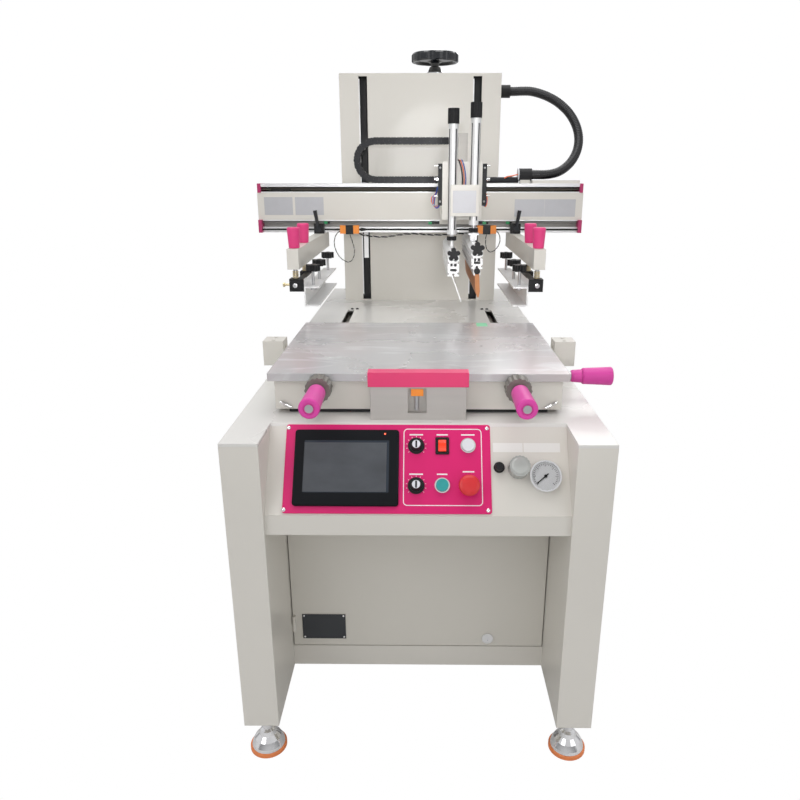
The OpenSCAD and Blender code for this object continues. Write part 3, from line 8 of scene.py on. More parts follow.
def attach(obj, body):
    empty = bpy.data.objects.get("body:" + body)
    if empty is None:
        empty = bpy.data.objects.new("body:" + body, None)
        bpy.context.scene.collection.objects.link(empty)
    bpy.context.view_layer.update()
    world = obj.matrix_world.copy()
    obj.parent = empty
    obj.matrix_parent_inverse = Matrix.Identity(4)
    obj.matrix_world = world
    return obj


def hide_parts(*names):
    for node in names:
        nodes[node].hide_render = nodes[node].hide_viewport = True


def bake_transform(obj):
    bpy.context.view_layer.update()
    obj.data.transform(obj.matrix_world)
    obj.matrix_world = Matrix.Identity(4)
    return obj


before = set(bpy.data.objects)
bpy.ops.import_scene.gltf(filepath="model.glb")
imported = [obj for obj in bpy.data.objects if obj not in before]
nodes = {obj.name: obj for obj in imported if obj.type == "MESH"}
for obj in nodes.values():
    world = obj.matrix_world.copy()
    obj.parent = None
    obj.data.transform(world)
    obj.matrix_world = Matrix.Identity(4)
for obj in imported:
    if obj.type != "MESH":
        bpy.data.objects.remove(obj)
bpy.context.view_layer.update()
scene = bpy.context.scene

# How far the leg fronts lie before the frame's origin, and the deck top over the floor, in metres
DEPTH = 0.88
DECK = 0.724

# Places of the finished model in millimetres, as P takes them: X to the right, Y from the leg
# fronts to the rear, UP from the deck top
FLOOR_UP = -724
WHEEL_X = 53
WHEEL_Y = 1580
GRIP_X = 195
GRIP_END_Y = 14.6
GRIP_UP = 62
SIDE_GRIP_Y = 258
SIDE_GRIP_UP = 54
APRON_FACE = 172
SLOT_END = 1285
COLUMN_FACE = 1485
BEAM_FACE = 1333
BEAM_GROOVE_HALF = 549
CHAIN_Y = 1390
GLAND_Y = 1400
GLAND_UP = 458
SENSOR_ROD_Y = 1322
SENSOR_ROD_UP = 276
CARRIAGE_FACE = 996
CARRIAGE_SIDES = (56.5, 203.5)
PRESS_Y = 1022
FLOOD_X = 99
SQUEEGEE_X = 165
HOLDER_X = {"left": -348, "right": 330}
HOLDER_OUTSIDE = {"left": 323.2, "right": 305.2}
HOLDER_RODS_Y = (800, 960)
HOLDER_BOLT_UP = 163
NAMEPLATE_FACE = 189.2

# Sloped fascia: its upper edge, how far it drops and how far it comes forward. Places on it are
# in millimetres, across and then down the slope
FASCIA_TOP_Y = 112
FASCIA_DROP = 150
FASCIA_RUN = 104
DIAL_X = -3.4
DIALS = (("upper_dial", 46), ("lower_dial", 123))
ROCKER = (46.5, 46)
REGULATOR_PLACE = (190.5, 90)
GAUGE = (240.5, 105.5)


def P(x, y, up):
    """Millimetres from the machine's middle, the leg fronts and the deck top to the row frame in metres."""
    return Vector((x / 1000, y / 1000 - DEPTH, up / 1000 + DECK))


# Camera, solved on corners of the finished model
PHOTO_PX = 800
SENSOR = 36
FOCUS_PX = 687.04
PITCH = math.radians(18.19)
YAW = math.radians(-0.55)
CAMERA_PLACE = (0.00445, -2.0241, 1.1854)
CAMERA_SHIFT = (-0.0178, -0.0008)
cam_data = bpy.data.cameras.new("camera")
cam_data.sensor_width = SENSOR
cam_data.lens = FOCUS_PX / PHOTO_PX * SENSOR
cam_data.shift_x, cam_data.shift_y = CAMERA_SHIFT
cam = bpy.data.objects.new("camera", cam_data)
scene.collection.objects.link(cam)
scene.camera = cam
forward = Vector((math.sin(YAW) * math.cos(PITCH), math.cos(YAW) * math.cos(PITCH), -math.sin(PITCH)))
right = Vector((math.cos(YAW), -math.sin(YAW), 0))
upward = right.cross(forward)
cam.matrix_world = Matrix.Translation(CAMERA_PLACE) @ Matrix(
    (
        (right.x, upward.x, -forward.x, 0),
        (right.y, upward.y, -forward.y, 0),
        (right.z, upward.z, -forward.z, 0),
        (0, 0, 0, 1),
    )
)

# Materials


def link(tree, a, b):
    tree.links.new(a, b)


def material(
    name,
    color,
    rough=0.5,
    metal=0.0,
    vary=0.06,
    scale=8.0,
    bump=0.1,
    grain=400.0,
    stretch=(1, 1, 1),
    bevel=0.0,
    coat=0.0,
    rough_vary=0.08,
    spec=0.5,
):
    """Principled material with broad colour variation, roughness variation and a fine bump."""
    m = bpy.data.materials.new(name)
    m.use_nodes = True
    t = m.node_tree
    b = t.nodes["Principled BSDF"]
    coord = t.nodes.new("ShaderNodeTexCoord")
    mapping = t.nodes.new("ShaderNodeMapping")
    mapping.inputs["Scale"].default_value = stretch
    link(t, coord.outputs["Object"], mapping.inputs["Vector"])
    broad = t.nodes.new("ShaderNodeTexNoise")
    broad.inputs["Scale"].default_value = scale
    broad.inputs["Detail"].default_value = 5
    link(t, mapping.outputs["Vector"], broad.inputs["Vector"])
    mix = t.nodes.new("ShaderNodeMix")
    mix.data_type = "RGBA"
    low = [max(0.0, c * (1 - vary)) for c in color]
    high = [min(1.0, c * (1 + vary)) for c in color]
    mix.inputs["A"].default_value = (*low, 1)
    mix.inputs["B"].default_value = (*high, 1)
    link(t, broad.outputs["Fac"], mix.inputs["Factor"])
    link(t, mix.outputs["Result"], b.inputs["Base Color"])
    span = t.nodes.new("ShaderNodeMapRange")
    span.inputs["To Min"].default_value = max(0.02, rough - rough_vary)
    span.inputs["To Max"].default_value = min(1.0, rough + rough_vary)
    link(t, broad.outputs["Fac"], span.inputs["Value"])
    link(t, span.outputs["Result"], b.inputs["Roughness"])
    b.inputs["Metallic"].default_value = metal
    b.inputs["Specular IOR Level"].default_value = spec
    if coat:
        b.inputs["Coat Weight"].default_value = coat
        b.inputs["Coat Roughness"].default_value = 0.08
    fine = t.nodes.new("ShaderNodeTexNoise")
    fine.inputs["Scale"].default_value = grain
    fine.inputs["Detail"].default_value = 3
    link(t, mapping.outputs["Vector"], fine.inputs["Vector"])
    bumper = t.nodes.new("ShaderNodeBump")
    bumper.inputs["Strength"].default_value = bump
    bumper.inputs["Distance"].default_value = 0.001
    link(t, fine.outputs["Fac"], bumper.inputs["Height"])
    link(t, bumper.outputs["Normal"], b.inputs["Normal"])
    if bevel:
        edge = t.nodes.new("ShaderNodeBevel")
        edge.samples = 4
        edge.inputs["Radius"].default_value = bevel
        link(t, edge.outputs["Normal"], bumper.inputs["Normal"])
    return m


CREAM = material(
    "cream_paint", (0.69, 0.665, 0.61), 0.34,
    vary=0.025, scale=3, bump=0.12, grain=900, bevel=0.0016, coat=0.15,
)
CREAM_DECK = material(
    "cream_paint_deck", (0.71, 0.70, 0.67), 0.28,
    vary=0.02, scale=3, bump=0.10, grain=900, bevel=0.0012, coat=0.2,
)
CREAM_DOOR = material(
    "cream_paint_door", (0.66, 0.635, 0.575), 0.36,
    vary=0.03, scale=3, bump=0.12, grain=900, bevel=0.0012, coat=0.1,
)
PINK = material(
    "pink_paint", (0.68, 0.014, 0.155), 0.36,
    vary=0.05, scale=9, bump=0.06, grain=700, bevel=0.0008, spec=0.3,
)
PINK_GRIP = material(
    "pink_grip", (0.66, 0.05, 0.34), 0.42,
    vary=0.07, scale=25, bump=0.12, grain=600, bevel=0.001,
)
PINK_LIP = material(
    "pink_lip", (0.74, 0.045, 0.165), 0.36,
    vary=0.05, scale=14, bump=0.08, grain=600, bevel=0.0014,
)
# Pink for the beam's end caps, darker than the pink paint as painted shade
PINK_CAP_SHADE = material(
    "pink_cap_painted_shade", (0.44, 0.028, 0.13), 0.4,
    vary=0.06, scale=25, bump=0.08, grain=600, bevel=0.0008,
)
PINK_KNOB = material(
    "pink_knob", (0.74, 0.045, 0.21), 0.42,
    vary=0.06, scale=25, bump=0.10, grain=600, bevel=0.001,
)
STEEL = material(
    "machined_steel", (0.52, 0.52, 0.53), 0.32, 1.0,
    vary=0.1, scale=18, bump=0.12, grain=500, stretch=(1, 1, 6), bevel=0.0006,
)
DARK_STEEL = material(
    "dark_steel", (0.21, 0.195, 0.175), 0.4, 0.5,
    vary=0.15, scale=30, bump=0.2, grain=500, bevel=0.0005,
)
# Aluminium inside the beam's grooves, darkened as painted shade: the upper groove darker, the lower one less
# so
GROOVE_SHADE = material(
    "groove_painted_shade", (0.13, 0.115, 0.095), 0.5, 0.3,
    vary=0.15, scale=30, bump=0.2, grain=500, spec=0.3,
)
LOW_GROOVE_SHADE = material(
    "low_groove_painted_shade", (0.32, 0.31, 0.295), 0.45, 0.4,
    vary=0.15, scale=30, bump=0.2, grain=500,
)
CHROME = material(
    "chrome", (0.85, 0.85, 0.86), 0.10, 1.0,
    vary=0.03, scale=30, bump=0.02, grain=300, rough_vary=0.05,
)
ALU = material(
    "anodised_aluminium", (0.80, 0.80, 0.81), 0.36, 0.5,
    vary=0.05, scale=10, bump=0.10, grain=700, stretch=(1, 12, 12), bevel=0.0006,
)
ALU_BAR = material(
    "aluminium_bar", (0.86, 0.86, 0.86), 0.36, 0.4,
    vary=0.06, scale=10, bump=0.10, grain=700, stretch=(12, 1, 12), bevel=0.0006,
)
TABLE = material(
    "table_film", (0.62, 0.595, 0.585), 0.26, 0.45,
    vary=0.10, scale=5, bump=0.06, grain=60, bevel=0.0012, rough_vary=0.12,
)


def add_film(m):
    """Clear film on the table: long pale streaks of painted reflection along creases, and faint blue and
    rose reflections.
    """
    t = m.node_tree
    b = t.nodes["Principled BSDF"]
    before = b.inputs["Base Color"].links[0].from_socket
    coord = t.nodes.new("ShaderNodeTexCoord")
    turn = t.nodes.new("ShaderNodeMapping")
    turn.inputs["Rotation"].default_value = (0, 0, math.radians(24))
    turn.inputs["Scale"].default_value = (2.2, 8.0, 1.0)
    link(t, coord.outputs["Object"], turn.inputs["Vector"])
    crease_sheen = t.nodes.new("ShaderNodeTexNoise")
    crease_sheen.inputs["Scale"].default_value = 2.6
    crease_sheen.inputs["Detail"].default_value = 7
    crease_sheen.inputs["Distortion"].default_value = 1.4
    link(t, turn.outputs["Vector"], crease_sheen.inputs["Vector"])
    band = t.nodes.new("ShaderNodeValToRGB")
    band.color_ramp.elements[0].position = 0.53
    band.color_ramp.elements[0].color = (0, 0, 0, 1)
    band.color_ramp.elements[1].position = 0.66
    band.color_ramp.elements[1].color = (1, 1, 1, 1)
    link(t, crease_sheen.outputs["Fac"], band.inputs["Fac"])
    tint = t.nodes.new("ShaderNodeTexNoise")
    tint.inputs["Scale"].default_value = 3.2
    tint.inputs["Detail"].default_value = 1
    link(t, coord.outputs["Object"], tint.inputs["Vector"])
    hue = t.nodes.new("ShaderNodeValToRGB")
    hue.color_ramp.elements[0].position = 0.35
    hue.color_ramp.elements[0].color = (0.93, 0.97, 1.0, 1)
    hue.color_ramp.elements[1].position = 0.65
    hue.color_ramp.elements[1].color = (1.0, 0.94, 0.96, 1)
    link(t, tint.outputs["Fac"], hue.inputs["Fac"])
    tinted = t.nodes.new("ShaderNodeMix")
    tinted.data_type = "RGBA"
    tinted.blend_type = "MULTIPLY"
    tinted.inputs["Factor"].default_value = 1.0
    link(t, before, tinted.inputs["A"])
    link(t, hue.outputs["Color"], tinted.inputs["B"])
    pale = t.nodes.new("ShaderNodeMix")
    pale.data_type = "RGBA"
    scaled = t.nodes.new("ShaderNodeMath")
    scaled.operation = "MULTIPLY"
    scaled.inputs[1].default_value = 0.45
    link(t, band.outputs["Color"], scaled.inputs[0])
    link(t, scaled.outputs["Value"], pale.inputs["Factor"])
    link(t, tinted.outputs["Result"], pale.inputs["A"])
    pale.inputs["B"].default_value = (0.86, 0.87, 0.88, 1)
    link(t, pale.outputs["Result"], b.inputs["Base Color"])


def glow(m, color, strength):
    """Let a material shine a little by itself."""
    b = m.node_tree.nodes["Principled BSDF"]
    b.inputs["Emission Color"].default_value = (*color, 1)
    b.inputs["Emission Strength"].default_value = strength


add_film(TABLE)
BLACK = material(
    "black_plastic", (0.011, 0.011, 0.012), 0.42,
    vary=0.25, scale=30, bump=0.15, grain=500, spec=0.3, bevel=0.0006,
)
CHAIN = material(
    "chain_nylon", (0.008, 0.008, 0.011), 0.34,
    vary=0.3, scale=40, bump=0.1, grain=500, spec=0.3, bevel=0.0006,
)
GLOSS_BLACK = material(
    "gloss_black", (0.012, 0.014, 0.018), 0.14,
    vary=0.3, scale=12, bump=0.02, grain=300, coat=0.4,
)
BEZEL = material(
    "screen_bezel", (0.006, 0.007, 0.009), 0.5,
    vary=0.25, scale=20, bump=0.05, grain=500, spec=0.12, bevel=0.0006,
)
HOSE = material("hose_rubber", (0.010, 0.010, 0.012), 0.26, vary=0.3, scale=30, bump=0.1, grain=400)
STRAND = material("pale_strand", (0.52, 0.51, 0.48), 0.45, vary=0.15, scale=60, bump=0.1, grain=400)
ORANGE = material(
    "orange_plastic", (0.86, 0.27, 0.03), 0.40,
    vary=0.08, scale=30, bump=0.1, grain=500, bevel=0.0008,
)
ORANGE_RING = material("orange_rubber", (0.84, 0.25, 0.08), 0.55, vary=0.10, scale=30, bump=0.2, grain=500)
GREEN = material(
    "green_lens", (0.016, 0.32, 0.32), 0.25,
    vary=0.10, scale=40, bump=0.03, grain=300, coat=0.5,
)
WHITE = material(
    "white_lens", (0.70, 0.71, 0.75), 0.30,
    vary=0.03, scale=40, bump=0.03, grain=300, coat=0.4,
)
RED = material(
    "red_mushroom", (0.63, 0.018, 0.023), 0.36,
    vary=0.08, scale=40, bump=0.06, grain=500, bevel=0.0006,
)
LIT_RED = material(
    "lit_rocker", (0.85, 0.035, 0.012), 0.3,
    vary=0.08, scale=60, bump=0.04, grain=400, spec=0.3,
)
glow(LIT_RED, (1, 0.06, 0.01), 0.35)
REGULATOR = material(
    "regulator_grey", (0.44, 0.45, 0.43), 0.34, 0.5,
    vary=0.12, scale=40, bump=0.08, grain=400, bevel=0.0006,
)
BRASS = material("brass", (0.78, 0.66, 0.42), 0.28, 1.0, vary=0.1, scale=30, bump=0.1, grain=400)
RUBBER = material(
    "blade_rubber", (0.60, 0.24, 0.09), 0.48,
    vary=0.10, scale=20, bump=0.1, grain=300, bevel=0.0004,
)
CHARCOAL = material(
    "charcoal_plate", (0.026, 0.029, 0.035), 0.38,
    vary=0.15, scale=20, bump=0.06, grain=500, bevel=0.0004,
)
BOX_GREY = material(
    "brushed_box", (0.49, 0.47, 0.445), 0.42, 0.35,
    vary=0.06, scale=9, bump=0.12, grain=300, stretch=(1, 1, 10), bevel=0.0010,
)
LABEL = material("bare_label", (0.80, 0.79, 0.76), 0.45, vary=0.02, scale=60, bump=0.02, grain=300)
GREY_PLATE = material(
    "bare_grey_plate", (0.49, 0.49, 0.51), 0.42, 0.3,
    vary=0.06, scale=40, bump=0.05, grain=400,
)
INK = material("white_ink", (0.86, 0.82, 0.84), 0.5, vary=0.03, scale=60, bump=0.02, grain=300)

# Geometry helpers


def smooth(o, angle=32):
    """Smooth shading with hard edges kept."""
    me = o.data
    me.polygons.foreach_set("use_smooth", [True] * len(me.polygons))
    me.set_sharp_from_angle(angle=math.radians(angle))


def new_object(name, bm, mat, body, smooth_angle=32):
    """Object of one material from a bmesh, riding on a body."""
    me = bpy.data.meshes.new(name)
    bm.to_mesh(me)
    bm.free()
    me.materials.append(mat)
    o = bpy.data.objects.new(name, me)
    scene.collection.objects.link(o)
    smooth(o, smooth_angle)
    if body:
        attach(o, body)
    return o


def add_box(bm, lo, hi, matrix=Matrix.Identity(4)):
    """Box between two corners."""
    centre = [(lo[i] + hi[i]) / 2 for i in range(3)]
    size = [hi[i] - lo[i] for i in range(3)]
    place = matrix @ Matrix.Translation(centre) @ Matrix.Diagonal((*size, 1))
    bmesh.ops.create_cube(bm, size=1, matrix=place)


def add_tube(bm, radius, length, matrix, segments=24, top=None):
    """Cylinder standing on the matrix's origin along its +Z."""
    bmesh.ops.create_cone(
        bm,
        cap_ends=True,
        segments=segments,
        radius1=radius,
        radius2=radius if top is None else top,
        depth=length,
        matrix=matrix @ Matrix.Translation((0, 0, length / 2)),
    )


def toward(point, direction):
    """Matrix at a point whose +Z is the direction."""
    d = Vector(direction).normalized()
    return Matrix.Translation(point) @ d.to_track_quat("Z", "Y").to_matrix().to_4x4()


SLOPE = math.atan2(FASCIA_DROP, FASCIA_RUN)


def on_slope(x, t, out=0.0):
    """Matrix on the fascia: x across, t down the slope, both in millimetres; +Z out of the face."""
    base = Matrix.Translation(P(0, FASCIA_TOP_Y, 0)) @ Matrix.Rotation(SLOPE, 4, "X")
    return base @ Matrix.Translation((x / 1000, -t / 1000, out / 1000))


def paint(name, base, *rules):
    """One material for a node, and others for the faces whose centre (mm) passes a test."""
    o = nodes[name]
    me = o.data
    me.materials.clear()
    me.materials.append(base)
    for mat, _ in rules:
        me.materials.append(mat)
    for f in me.polygons:
        f.material_index = 0
        c = f.center
        x, y, up = c.x * 1000, (c.y + DEPTH) * 1000, (c.z - DECK) * 1000
        for i, (_, test) in enumerate(rules):
            if test(x, y, up):
                f.material_index = i + 1
                break
    smooth(o)


# Cords
HOSE_POINTS = [
    (308, 1580, 745), (340, 1580, 745), (370, 1579, 746), (400, 1576, 745), (430, 1571, 738),
    (460, 1565, 727), (490, 1557, 711), (516, 1548, 691), (538, 1538, 668), (555, 1527, 641),
    (566, 1514, 612), (570, 1500, 582), (566, 1484, 552), (555, 1468, 525), (538, 1452, 501),
    (516, 1436, 482), (491, 1422, 468), (465, 1411, 461), (438, 1404, 458), (414, 1400, 458),
    (378, 1400, 458),
]
LEAD_LEFT = [
    (-279, 1322, 270), (-290, 1321, 262), (-298, 1320, 246), (-300, 1319, 226), (-295, 1318, 204),
    (-284, 1317, 184), (-268, 1316, 170), (-252, 1316, 164), (-240, 1317, 170), (-232, 1318, 186),
    (-230, 1319, 206), (-234, 1320, 226), (-240, 1321, 244), (-245, 1322, 259),
]
LEAD_RIGHT = [
    (268, 1322, 270), (276, 1321, 262), (281, 1320, 246), (279, 1319, 228), (270, 1318, 212),
    (258, 1317, 202), (246, 1317, 200), (237, 1318, 208), (232, 1320, 222), (231, 1321, 240),
    (233, 1322, 259),
]

SPAN_STEPS = 24


def resample(points, step):
    """Points on a smooth curve through the given ones, a step apart, and the curve's length."""
    dense = []
    n = len(points)
    for i in range(n - 1):
        p0, p1 = points[max(i - 1, 0)], points[i]
        p2, p3 = points[i + 1], points[min(i + 2, n - 1)]
        for k in range(SPAN_STEPS):
            t = k / SPAN_STEPS
            linear = (p2 - p0) * t
            square = (2 * p0 - 5 * p1 + 4 * p2 - p3) * t * t
            cubic = (3 * p1 - p0 - 3 * p2 + p3) * t**3
            dense.append(0.5 * ((2 * p1) + linear + square + cubic))
    dense.append(points[-1])
    length = sum((b - a).length for a, b in zip(dense, dense[1:]))
    count = max(2, round(length / step))
    out, want, run = [dense[0]], length / count, 0.0
    target = want
    for a, b in zip(dense, dense[1:]):
        d = (b - a).length
        while run + d >= target - 1e-9 and len(out) < count:
            out.append(a.lerp(b, (target - run) / d))
            target += want
        run += d
    out.append(dense[-1])
    return out, length


def frames_along(points):
    """Each point with two unit vectors across the line, carried along it without twist."""
    frames = []
    normal = None
    for i, p in enumerate(points):
        d = (points[min(i + 1, len(points) - 1)] - points[max(i - 1, 0)]).normalized()
        if normal is None:
            normal = d.orthogonal().normalized()
        normal = (normal - d * normal.dot(d)).normalized()
        frames.append((p, normal, d.cross(normal)))
    return frames


def ring_of(bm, centre, radius, normal, other, sides):
    """Ring of vertices round a centre, in the plane of two unit vectors."""
    ring = []
    for k in range(sides):
        a = 2 * math.pi * k / sides
        ring.append(bm.verts.new(centre + radius * (math.cos(a) * normal + math.sin(a) * other)))
    return ring


def sweep(name, points, radii, sides, mat, body):
    """Tube along points, one radius per point, without twist."""
    bm = bmesh.new()
    rings = []
    for (p, normal, other), r in zip(frames_along(points), radii):
        rings.append(ring_of(bm, p, r, normal, other, sides))
    for a, b in zip(rings, rings[1:]):
        for k in range(sides):
            bm.faces.new((a[k], a[(k + 1) % sides], b[(k + 1) % sides], b[k]))
    bm.faces.new(list(reversed(rings[0])))
    bm.faces.new(rings[-1])
    bmesh.ops.recalc_face_normals(bm, faces=bm.faces)
    return new_object(name, bm, mat, body, smooth_angle=50)


HOSE_RADIUS = 0.0160
RIB_DEPTH = 0.0011
RINGS_PER_RIB = 4
hose_line, hose_length = resample([P(*p) for p in HOSE_POINTS], 0.0016)
hose_radii = []
for i in range(len(hose_line)):
    hose_radii.append(HOSE_RADIUS - RIB_DEPTH * (0.5 + 0.5 * math.cos(2 * math.pi * i / RINGS_PER_RIB)))
hose = sweep("loom_hose_ribbed", hose_line, hose_radii, 28, HOSE, None)
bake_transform(hose)
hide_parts("loom_hose")


def twisted(name, points, diameter, pitch, body):
    """Cable of a dark and a pale strand twisted round the line; returns both, the dark one first."""
    strands = []
    for k, (mat, thick, aside) in enumerate(((HOSE, 0.40, 0.09), (STRAND, 0.16, 0.34))):
        run = 0.0
        last = points[0]
        path = []
        for p, normal, other in frames_along(points):
            run += (p - last).length
            last = p
            a = 2 * math.pi * run / pitch + math.pi * k
            path.append(p + diameter * aside * (math.cos(a) * normal + math.sin(a) * other))
        part = name if k == 0 else name + "_pale"
        strand = sweep(part, path, [diameter * thick] * len(path), 10, mat, body)
        strands.append(strand)
    return strands


for side, raw in (("left", LEAD_LEFT), ("right", LEAD_RIGHT)):
    line, length = resample([P(*p) for p in raw], 0.002)
    strands = twisted("sensor_lead_round_" + side, line, 0.0036, 0.018, "head")
    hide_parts("sensor_lead_" + side)

# Finishes of the CAD nodes
paint("cabinet", CREAM, (STEEL, lambda x, y, up: abs(x) < 356 and 180 < y < 1360 and -111 < up < -79.5))
paint("deck_plate", CREAM_DECK)
paint("door", CREAM_DOOR)
paint(
    "column",
    CREAM,
    (BLACK, lambda x, y, up: x > 284.3),
    (CHROME, lambda x, y, up: up > 794.3 and abs(x - WHEEL_X) < 31),
)
paint("levelling_feet", CHROME, (ORANGE_RING, lambda x, y, up: up < FLOOR_UP + 9.2))
paint("door_lock", CHROME)
paint("linear_guides", DARK_STEEL, (BLACK, lambda x, y, up: up > 0 and 1500 < y < 1581))
paint("electrics_tray", STEEL)
paint(
    "handwheel",
    GLOSS_BLACK,
    (STEEL, lambda x, y, up: up < 825),
    (CHROME, lambda x, y, up: up > 865 and math.hypot(x - WHEEL_X, y - WHEEL_Y) < 13),
)
paint("height_nut", BRASS)
paint("panel_plate", PINK)
paint("touch_screen", BEZEL)


def slope_place(x, y, up):
    """Point in millimetres as a place on the fascia: across, down the slope, out of the face."""
    dy = y - FASCIA_TOP_Y
    return x, -dy * math.cos(SLOPE) - up * math.sin(SLOPE), -dy * math.sin(SLOPE) + up * math.cos(SLOPE)


def is_black_bezel(x, y, up):
    """Whether a face belongs to the rocker's frame or to the collar of a dial."""
    x, t, _ = slope_place(x, y, up)
    rocker = abs(x - ROCKER[0]) < 13.5 and abs(t - ROCKER[1]) < 17
    return rocker or any(math.hypot(x - DIAL_X, t - down) < 17 for _, down in DIALS)


paint("button_bezels", CHROME, (BLACK, is_black_bezel))
paint("stop_button", RED)
paint("green_button", GREEN)
paint("white_button", WHITE)
paint("rocker_switch", LIT_RED)
for n in ("speed_knob_upper", "speed_knob_lower", "valve_knob", "gauge_needle"):
    paint(n, BLACK)
paint("regulator_knob", REGULATOR)

# Front stop: padded lip, sensor, probe, and the back of the recess that they stand in
paint(
    "front_stop",
    BOX_GREY,
    (PINK_LIP, lambda x, y, up: up > 68.9),
    (ORANGE, lambda x, y, up: -14.5 < x < 10.5 and 49 < up < 64.5 and y < 142.5),
    (STEEL, lambda x, y, up: -8 < x < 2 and 19 < up < 51 and y < 141),
    (GREY_PLATE, lambda x, y, up: y > 152.1),
)

# Table: dark collars behind the front grips, steel runners under the deck
paint(
    "table_base",
    CREAM,
    (DARK_STEEL, lambda x, y, up: y < APRON_FACE - 0.5 and up > 30 and abs(abs(x) - GRIP_X) < 30),
    (STEEL, lambda x, y, up: up < -7),
)
paint("table_cross_plate", STEEL)
paint("table_top", TABLE)
for n in ("front_grip_left", "front_grip_right"):
    paint(n, PINK_GRIP, (STEEL, lambda x, y, up: y > 112.5))
paint("side_grip", PINK_GRIP, (STEEL, lambda x, y, up: x < 344.5))


def in_groove(x, y):
    """Whether a face lies in a front groove of the beam's profiles, behind the painted face."""
    return BEAM_FACE + 1 < y < 1432 and abs(x) < BEAM_GROOVE_HALF


# Faces inside the two grooves get painted shade
paint(
    "beam_profiles",
    ALU,
    (GROOVE_SHADE, lambda x, y, up: in_groove(x, y) and 358 < up < 427),
    (LOW_GROOVE_SHADE, lambda x, y, up: in_groove(x, y) and 283 < up < 304.5),
    (BLACK, lambda x, y, up: 1300 < y < BEAM_FACE - 2),
    (STEEL, lambda x, y, up: y > 1456),
)
paint(
    "beam_body",
    CREAM,
    (BLACK, lambda x, y, up: x > 345 and y > 1375 and 13 < math.hypot(y - GLAND_Y, up - GLAND_UP) < 22.6),
)
# End caps in the darker pink of painted shade
paint("beam_end_caps", PINK_CAP_SHADE)
paint("drive_pulley", BLACK)
paint("stroke_sensors", ORANGE, (BLACK, lambda x, y, up: abs(abs(x + 6) - 239) < 13.5))
paint(
    "carriage_body",
    CREAM,
    (BLACK, lambda x, y, up: x < 68.4 or x > 189.7),
    (BOX_GREY, lambda x, y, up: up > 496.5),
)
paint("press_cylinders", ALU_BAR)
paint("flood_stroke_knob", BLACK)
paint("squeegee_stroke_knob", BLACK)


def off_press_rod(x, y, rod_x):
    """Whether a face lies outside a press rod, on the black nut round it."""
    return y > 1000 and math.hypot(x - rod_x, y - PRESS_Y) > 6.4


paint(
    "flood_bar",
    ALU_BAR,
    (BLACK, lambda x, y, up: 265.9 < up < 278.1 and off_press_rod(x, y, FLOOD_X)),
    (BLACK, lambda x, y, up: y < 809.9 or (up > 250.05 and y < 845)),
)
paint(
    "squeegee_lift",
    STEEL,
    (BLACK, lambda x, y, up: 290.9 < up < 303.1 and off_press_rod(x, y, SQUEEGEE_X)),
)
paint("squeegee_bar", ALU_BAR, (BLACK, lambda x, y, up: y < 809.9 or (up > 265.05 and y < 845)))
paint("squeegee_rubber", RUBBER)


def off_rods(x, y, side):
    """Whether a face lies outside both sprung rods of a frame holder."""
    return min(math.hypot(x - HOLDER_X[side], y - rod_y) for rod_y in HOLDER_RODS_Y) > 6.3


for side in ("left", "right"):
    paint("arm_" + side, CREAM, (BLACK, lambda x, y, up: 1288 < y < 1312 and up > 264.7))
    paint("clamp_lever_" + side, GLOSS_BLACK)
    paint(
        "frame_holder_" + side,
        ALU_BAR,
        (BLACK, lambda x, y, up: abs(x) > HOLDER_OUTSIDE[side] and 145 < up < 181.2),
        (BRASS, lambda x, y, up: up > 181.2 and off_rods(x, y, side)),
        (STEEL, lambda x, y, up: up > 181.2),
    )
    for end in ("front", "rear"):
        paint(f"height_knob_{side}_{end}", PINK_KNOB)
    paint("clamp_screws_" + side, BLACK, (STEEL, lambda x, y, up: up < 198.9))

# Drag chain: each run is copied in the chain's nylon and its CAD node hidden. On the machine each
# run's far end follows the carriage, and the bend goes half as far.
FAR = 5000
for node, start, end in (
    ("chain_lower", P(85, CHAIN_Y, 0), P(-395, CHAIN_Y, 0)),
    ("chain_bend", P(0, CHAIN_Y - FAR, 0), P(0, CHAIN_Y + FAR, 0)),
    ("chain_upper", P(-415, CHAIN_Y, 0), P(105, CHAIN_Y, 0)),
):
    me = nodes[node].data.copy()
    me.materials.clear()
    me.materials.append(CHAIN)
    o = bpy.data.objects.new(node + "_links", me)
    scene.collection.objects.link(o)
    smooth(o)
    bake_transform(o)
    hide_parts(node)

# Control panel details: the pink plate stands this far out of the fascia
PLATE = 2.5


def decal(bm, x0, t0, x1, t1, out, thick=0.15):
    """Thin rectangle on the fascia."""
    middle = on_slope((x0 + x1) / 2, (t0 + t1) / 2, out)
    across, down = (x1 - x0) / 2000, (t1 - t0) / 2000
    add_box(bm, (-across, -down, 0), (across, down, thick / 1000), middle)


def rounded_frame(bm, x0, t0, x1, t1, radius, width, out, thick=0.15):
    """Closed line with round corners on the fascia."""
    outer, inner = [], []
    corners = (
        (x1 - radius, t0 + radius, 0),
        (x0 + radius, t0 + radius, 90),
        (x0 + radius, t1 - radius, 180),
        (x1 - radius, t1 - radius, 270),
    )
    for cx, cy, a0 in corners:
        for k in range(7):
            a = math.radians(a0 + 15 * k)
            for ring, r in ((outer, radius), (inner, radius - width)):
                ring.append((cx + r * math.cos(a), cy - r * math.sin(a)))
    base = on_slope(0, 0, out)
    top = on_slope(0, 0, out + thick)
    rows = [
        [bm.verts.new(m @ Vector((x / 1000, -t / 1000, 0))) for x, t in ring]
        for m, ring in ((base, outer), (top, outer), (top, inner), (base, inner))
    ]
    n = len(outer)
    for a, b in zip(rows, rows[1:]):
        for k in range(n):
            bm.faces.new((a[k], a[(k + 1) % n], b[(k + 1) % n], b[k]))
    bmesh.ops.recalc_face_normals(bm, faces=bm.faces)


# White outline round the controls
bm = bmesh.new()
rounded_frame(bm, -28, 12, 122.5, 161, 8, 1.6, PLATE)
new_object("panel_outline", bm, INK, "frame_base")

